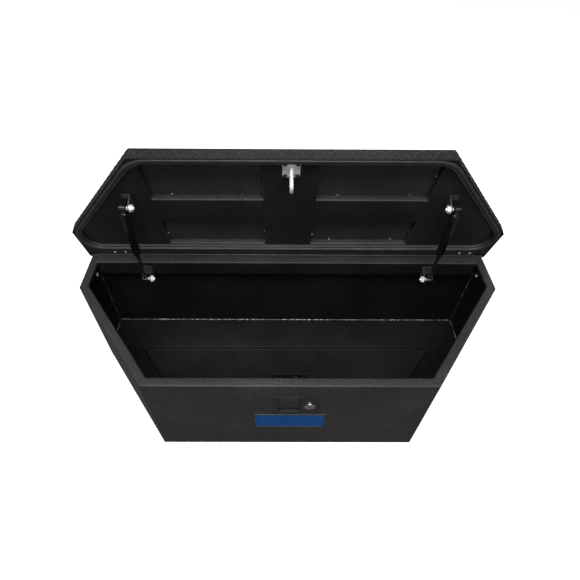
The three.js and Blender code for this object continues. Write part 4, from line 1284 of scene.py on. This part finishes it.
def build_lock():
    x, z = LOCK.x, LOCK.z
    outer = low("lock_housing").y
    inner = high("lock_housing").y
    bore = 6.7 * MM
    profile = [(bore, inner), (bore, outer + 0.9 * MM), (bore + 0.8 * MM, outer + 0.2 * MM),
               (9.6 * MM, outer),
               (10.9 * MM, outer + 0.5 * MM), (11.5 * MM, outer + 1.3 * MM),
               (11.5 * MM, PLATE_LOW.y + 0.6 * MM),
               (9.5 * MM, PLATE_LOW.y + 0.7 * MM), (9.5 * MM, inner), (bore, inner)]
    rings = [[(x + r * math.cos(t), y,
               z + r * math.sin(t)) for t in (2 * math.pi * k / 36 for k in range(36))]
             for r, y in profile[:-1]]
    Solid().ring(rings).done("lock_barrel", "root", CHROME, ["lock_housing"], "chrome")
    slot_outline = rounded(rectangle(x - 0.7 * MM, x + 0.7 * MM, z - 4.2 * MM, z + 4.2 * MM), 0.5 * MM, 3)
    plug = Solid()
    front = low("lock_plug").y - 0.3 * MM
    back = high("lock_plug").y
    plug.slab(circle(x, z, 6.5 * MM, 32), front, front + 10 * MM, along_y(), 0.5 * MM, [slot_outline])
    plug.slab(circle(x, z, 6.4 * MM, 32), front + 9 * MM, back, along_y(), 0.3 * MM)
    plug.done("key_plug", "key", CHROME, ["lock_plug"], "chrome")
    lo, hi = low("lock_cam"), high("lock_cam")
    arm = vectors([(x - 8 * MM, z - 8 * MM), (x + 8 * MM, z - 8 * MM), (x + 6 * MM, z + 26 * MM),
                   (x - 6 * MM, z + 26 * MM)])
    cam = Solid().slab(rounded(arm, [7 * MM, 7 * MM, 5.5 * MM, 5.5 * MM], 8), lo.y, hi.y, along_y(), 0.3 * MM)
    cam.slab(circle(x, z, 5.5 * MM, 6), hi.y - CLEAR, hi.y + 3.6 * MM, along_y(), 0.6 * MM)
    cam.done("cam_arm", "key", ZINC, ["lock_cam"], "zinc")


def build_catch():
    """Rotary catch behind the front panel."""
    lo, hi = low("catch_housing"), high("catch_housing")
    y0, y1 = hi.y - 22 * MM, hi.y
    bar_z = 246 * MM
    solid = Solid()
    holes = [circle(CLAW_PIVOT.x, CLAW_PIVOT.z, 3.2 * MM, 20),
             circle(PAWL_PIVOT.x, PAWL_PIVOT.z, 3.2 * MM, 20)]
    outline = vectors([(lo.x, lo.z), (hi.x, lo.z), (hi.x, hi.z - 8 * MM), (hi.x - 8 * MM, hi.z),
                       (9 * MM, hi.z),
                       (5 * MM, hi.z - 6 * MM), (5 * MM, bar_z - 6 * MM), (-5 * MM, bar_z - 6 * MM),
                       (-5 * MM, hi.z - 6 * MM), (-9 * MM, hi.z), (lo.x + 8 * MM, hi.z),
                       (lo.x, hi.z - 8 * MM)])
    radii = [2 * MM, 2 * MM, 2 * MM, 2 * MM, 1.5 * MM, 1.5 * MM, 3 * MM, 3 * MM, 1.5 * MM, 1.5 * MM, 2 * MM,
             2 * MM]
    solid.slab(rounded(outline, radii, 4), y0, y0 + 2 * MM, along_y(), 0.3 * MM, holes)
    cover = rectangle(lo.x, hi.x, lo.z, CATCH_COVER_Z)
    solid.slab(rounded(cover, 2 * MM, 4), y1 - 2 * MM, y1, along_y(), 0.3 * MM, holes)
    foot = strip([(y0 + 1 * MM, lo.z + 12 * MM), (y0 + 1 * MM, lo.z + 1 * MM), (y1 - 1 * MM, lo.z + 1 * MM),
                  (y1 - 1 * MM, lo.z + 12 * MM)], 2 * MM, 2.2 * MM)
    solid.loft([[(w, p.x, p.y) for p in foot] for w in (lo.x + 1 * MM, hi.x - 1 * MM)])
    for x in (-33 * MM, 33 * MM):
        solid.lathe([(0, FRONT_Y + SHEET + CLEAR), (5.5 * MM, FRONT_Y + SHEET + CLEAR),
                     (4 * MM, FRONT_Y + 4 * MM),
                     (4 * MM, y0 + 0.5 * MM), (0, y0 + 0.5 * MM)], along_y(x, 0, 247 * MM), 20)
    solid.done("catch_case", "root", BLACK, ["catch_housing"], "black_oxide")
    for pivot, name in ((CLAW_PIVOT, "claw_pivot"), (PAWL_PIVOT, "pawl_pivot")):
        Solid().lathe([(0, y0 - 2.6 * MM), (4.4 * MM, y0 - 2.4 * MM), (5 * MM, y0 - 1.6 * MM),
                       (5 * MM, y0 - CLEAR),
                       (3 * MM, y0 - CLEAR), (3 * MM, y1 + 0.6 * MM), (2.4 * MM, y1 + 1 * MM),
                       (0, y1 + 1 * MM)],
                      along_y(pivot.x, 0, pivot.z),
                      24).done(name + "_rivet", "root", BLACK, [name], "black_oxide")


def keep_node(name, material):
    """A CAD solid whose shape is already right: only its material changes."""
    node = frame["nodes"][name]
    node.data.materials.clear()
    node.data.materials.append(material)


def build_nameplate():
    lo, hi = low("nameplate_frame"), high("nameplate_frame")
    outline = rounded(rectangle(lo.x, hi.x, lo.z, hi.z), 2.5 * MM, 5)
    inner = rounded(rectangle(lo.x + 5 * MM, hi.x - 5 * MM, lo.z + 5 * MM, hi.z - 5 * MM), 1.5 * MM, 4)
    solid = Solid().hoop(outline, 5 * MM, lo.y, hi.y, along_y(), 0.45 * MM)
    solid.slab(shrink(outline, 1.5 * MM), hi.y - 0.5 * MM, hi.y, along_y(), 0.1 * MM)
    solid.done("nameplate_border", "root", SILVER, ["nameplate_frame"], "plate_frame")
    insert = Solid().slab(shrink(inner, 0.15 * MM), lo.y + 0.35 * MM, hi.y - 0.5 * MM, along_y(), 0.15 * MM)
    insert.done("nameplate_field", "root", BLUE, ["nameplate_insert"], "plate_blue")
    for x in (lo.x + 2.5 * MM, hi.x - 2.5 * MM):
        Solid().lathe([(0, -0.9 * MM), (1.0 * MM, -0.8 * MM), (1.7 * MM, -0.3 * MM), (1.8 * MM, 0.3 * MM),
                       (0, 0.3 * MM)],
                      along_y(x, lo.y, (lo.z + hi.z) / 2), 16).done(
            f"nameplate_rivet_{'left' if x < 0 else 'right'}", "root", SILVER, slot="plate_frame")


def build_side_bolts():
    for side, word in SIDES:
        lo, hi = low("side_bolt_right"), high("side_bolt_right")
        y, z = (lo.y + hi.y) / 2, (lo.z + hi.z) / 2
        Solid().lathe([(0, lo.x), (2.4 * MM, lo.x + 0.15 * MM), (4.0 * MM, lo.x + 1.0 * MM),
                       (5 * MM, lo.x + 2.2 * MM),
                       (5 * MM, hi.x), (0, hi.x)], along_x(0, y, z), 24).done(
            f"side_bolt_head_{word}", "root", ZINC, [f"side_bolt_{word}"], "zinc", mirror=side < 0)


# ---------------------------------------------------------------- stage, camera and light

def build_stage():
    floor_mesh = bpy.data.meshes.new("floor")
    size = 14.0
    floor_mesh.from_pydata([(-size, -size, 0), (size, -size, 0), (size, size, 0), (-size, size, 0)], [],
                           [(0, 1, 2, 3)])
    floor = bpy.data.objects.new("floor", floor_mesh)
    floor.location.z = -0.2 * MM
    bpy.context.scene.collection.objects.link(floor)
    s = Shader("floor_white")
    s.vary("Base Color", s.noise(3, 2), (0.3, 0.345), (0.7, 0.355))
    s.set(Roughness=0.9, Specular_IOR_Level=0.1, Emission_Color=(1, 1, 1, 1), Emission_Strength=0.85)
    floor.data.materials.append(s.material)
    floor.visible_glossy = False
    floor.visible_diffuse = False


def build_backdrop():
    """A white dome far behind everything, which casts no light on the object."""
    solid = bmesh.new()
    bmesh.ops.create_uvsphere(solid, u_segments=48, v_segments=24, radius=15)
    mesh = bpy.data.meshes.new("backdrop")
    solid.to_mesh(mesh)
    solid.free()
    dome = bpy.data.objects.new("backdrop", mesh)
    bpy.context.scene.collection.objects.link(dome)
    s = Shader("backdrop_white")
    s.set(Base_Color=(0, 0, 0, 1), Emission_Color=(1, 1, 1, 1), Emission_Strength=0.95)
    dome.data.materials.append(s.material)
    dome.visible_glossy = False
    dome.visible_diffuse = False
    dome.visible_shadow = False


def area(name, place, target, size, power):
    light = bpy.data.lights.new(name, "AREA")
    light.shape = "RECTANGLE"
    light.size, light.size_y = size
    light.energy = power
    lamp = bpy.data.objects.new(name, light)
    lamp.location = place
    lamp.rotation_euler = (Vector(target) - Vector(place)).to_track_quat("-Z", "Y").to_euler()
    bpy.context.scene.collection.objects.link(lamp)


def build_light():
    area("top_softbox", (0.0, 0.75, 2.6), (0, 0, 0.25), (2.6, 1.0), 8)
    area("back_softbox", (0.0, 2.3, 2.5), (0, 0, 0.3), (2.6, 1.2), 10)
    area("front_top_softbox", (-0.15, -0.9, 2.6), (0, 0, 0.4), (2.4, 0.9), 125)
    area("front_softbox", (0.1, -2.0, 1.5), (0, 0.1, 0.4), (1.8, 0.8), 15)
    area("rear_softbox", (0.4, 2.8, 1.3), (0, 0.1, 0.3), (2.2, 1.2), 80)
    area("left_softbox", (-2.6, -0.4, 1.4), (0, 0, 0.2), (1.4, 1.6), 4)
    area("right_softbox", (2.6, -0.2, 1.4), (0, 0, 0.2), (1.4, 1.6), 3)
    world = bpy.data.worlds.new("studio")
    bpy.context.scene.world = world
    world.use_nodes = True
    world.node_tree.nodes["Background"].inputs["Color"].default_value = (1, 1, 1, 1)
    world.node_tree.nodes["Background"].inputs["Strength"].default_value = 0.18
    bpy.context.scene.view_settings.view_transform = "Standard"


def build_camera():
    """Standing in front and above, looking about 46 degrees down."""
    place = Vector((-0.0261, -0.5798, 1.0670))
    pitch, yaw, roll = 0.79811, -0.00699, 0.00887
    ahead = Vector((-math.sin(yaw) * math.cos(pitch), math.cos(yaw) * math.cos(pitch), -math.sin(pitch)))
    right = Vector((math.cos(yaw), math.sin(yaw), 0))
    up = right.cross(ahead)
    turned_right = right * math.cos(roll) + up * math.sin(roll)
    turned_up = up * math.cos(roll) - right * math.sin(roll)
    camera = bpy.data.cameras.new("camera")
    camera.sensor_width = 36
    camera.lens = 26.965
    camera.shift_x = 0.0186
    camera.shift_y = -0.0646
    camera.clip_start = 0.01
    holder = bpy.data.objects.new("camera", camera)
    basis = Matrix((turned_right, turned_up, -ahead)).transposed().to_4x4()
    holder.matrix_world = Matrix.Translation(place) @ basis
    bpy.context.scene.collection.objects.link(holder)
    bpy.context.scene.camera = holder


build_panels()
build_floor()
build_welds()
build_hinge()
build_lid_shell()
build_lid_frame()
build_seal()
build_channel_and_ribs()
build_end_pans()
build_lid_tacks()
build_striker()
build_mountings()
build_struts()
build_latch_plate()
build_paddle()
build_lock()
build_catch()
build_nameplate()
build_side_bolts()
for node_name in ("claw", "pawl"):
    keep_node(node_name, BLACK)
build_stage()
build_backdrop()
build_light()
build_camera()
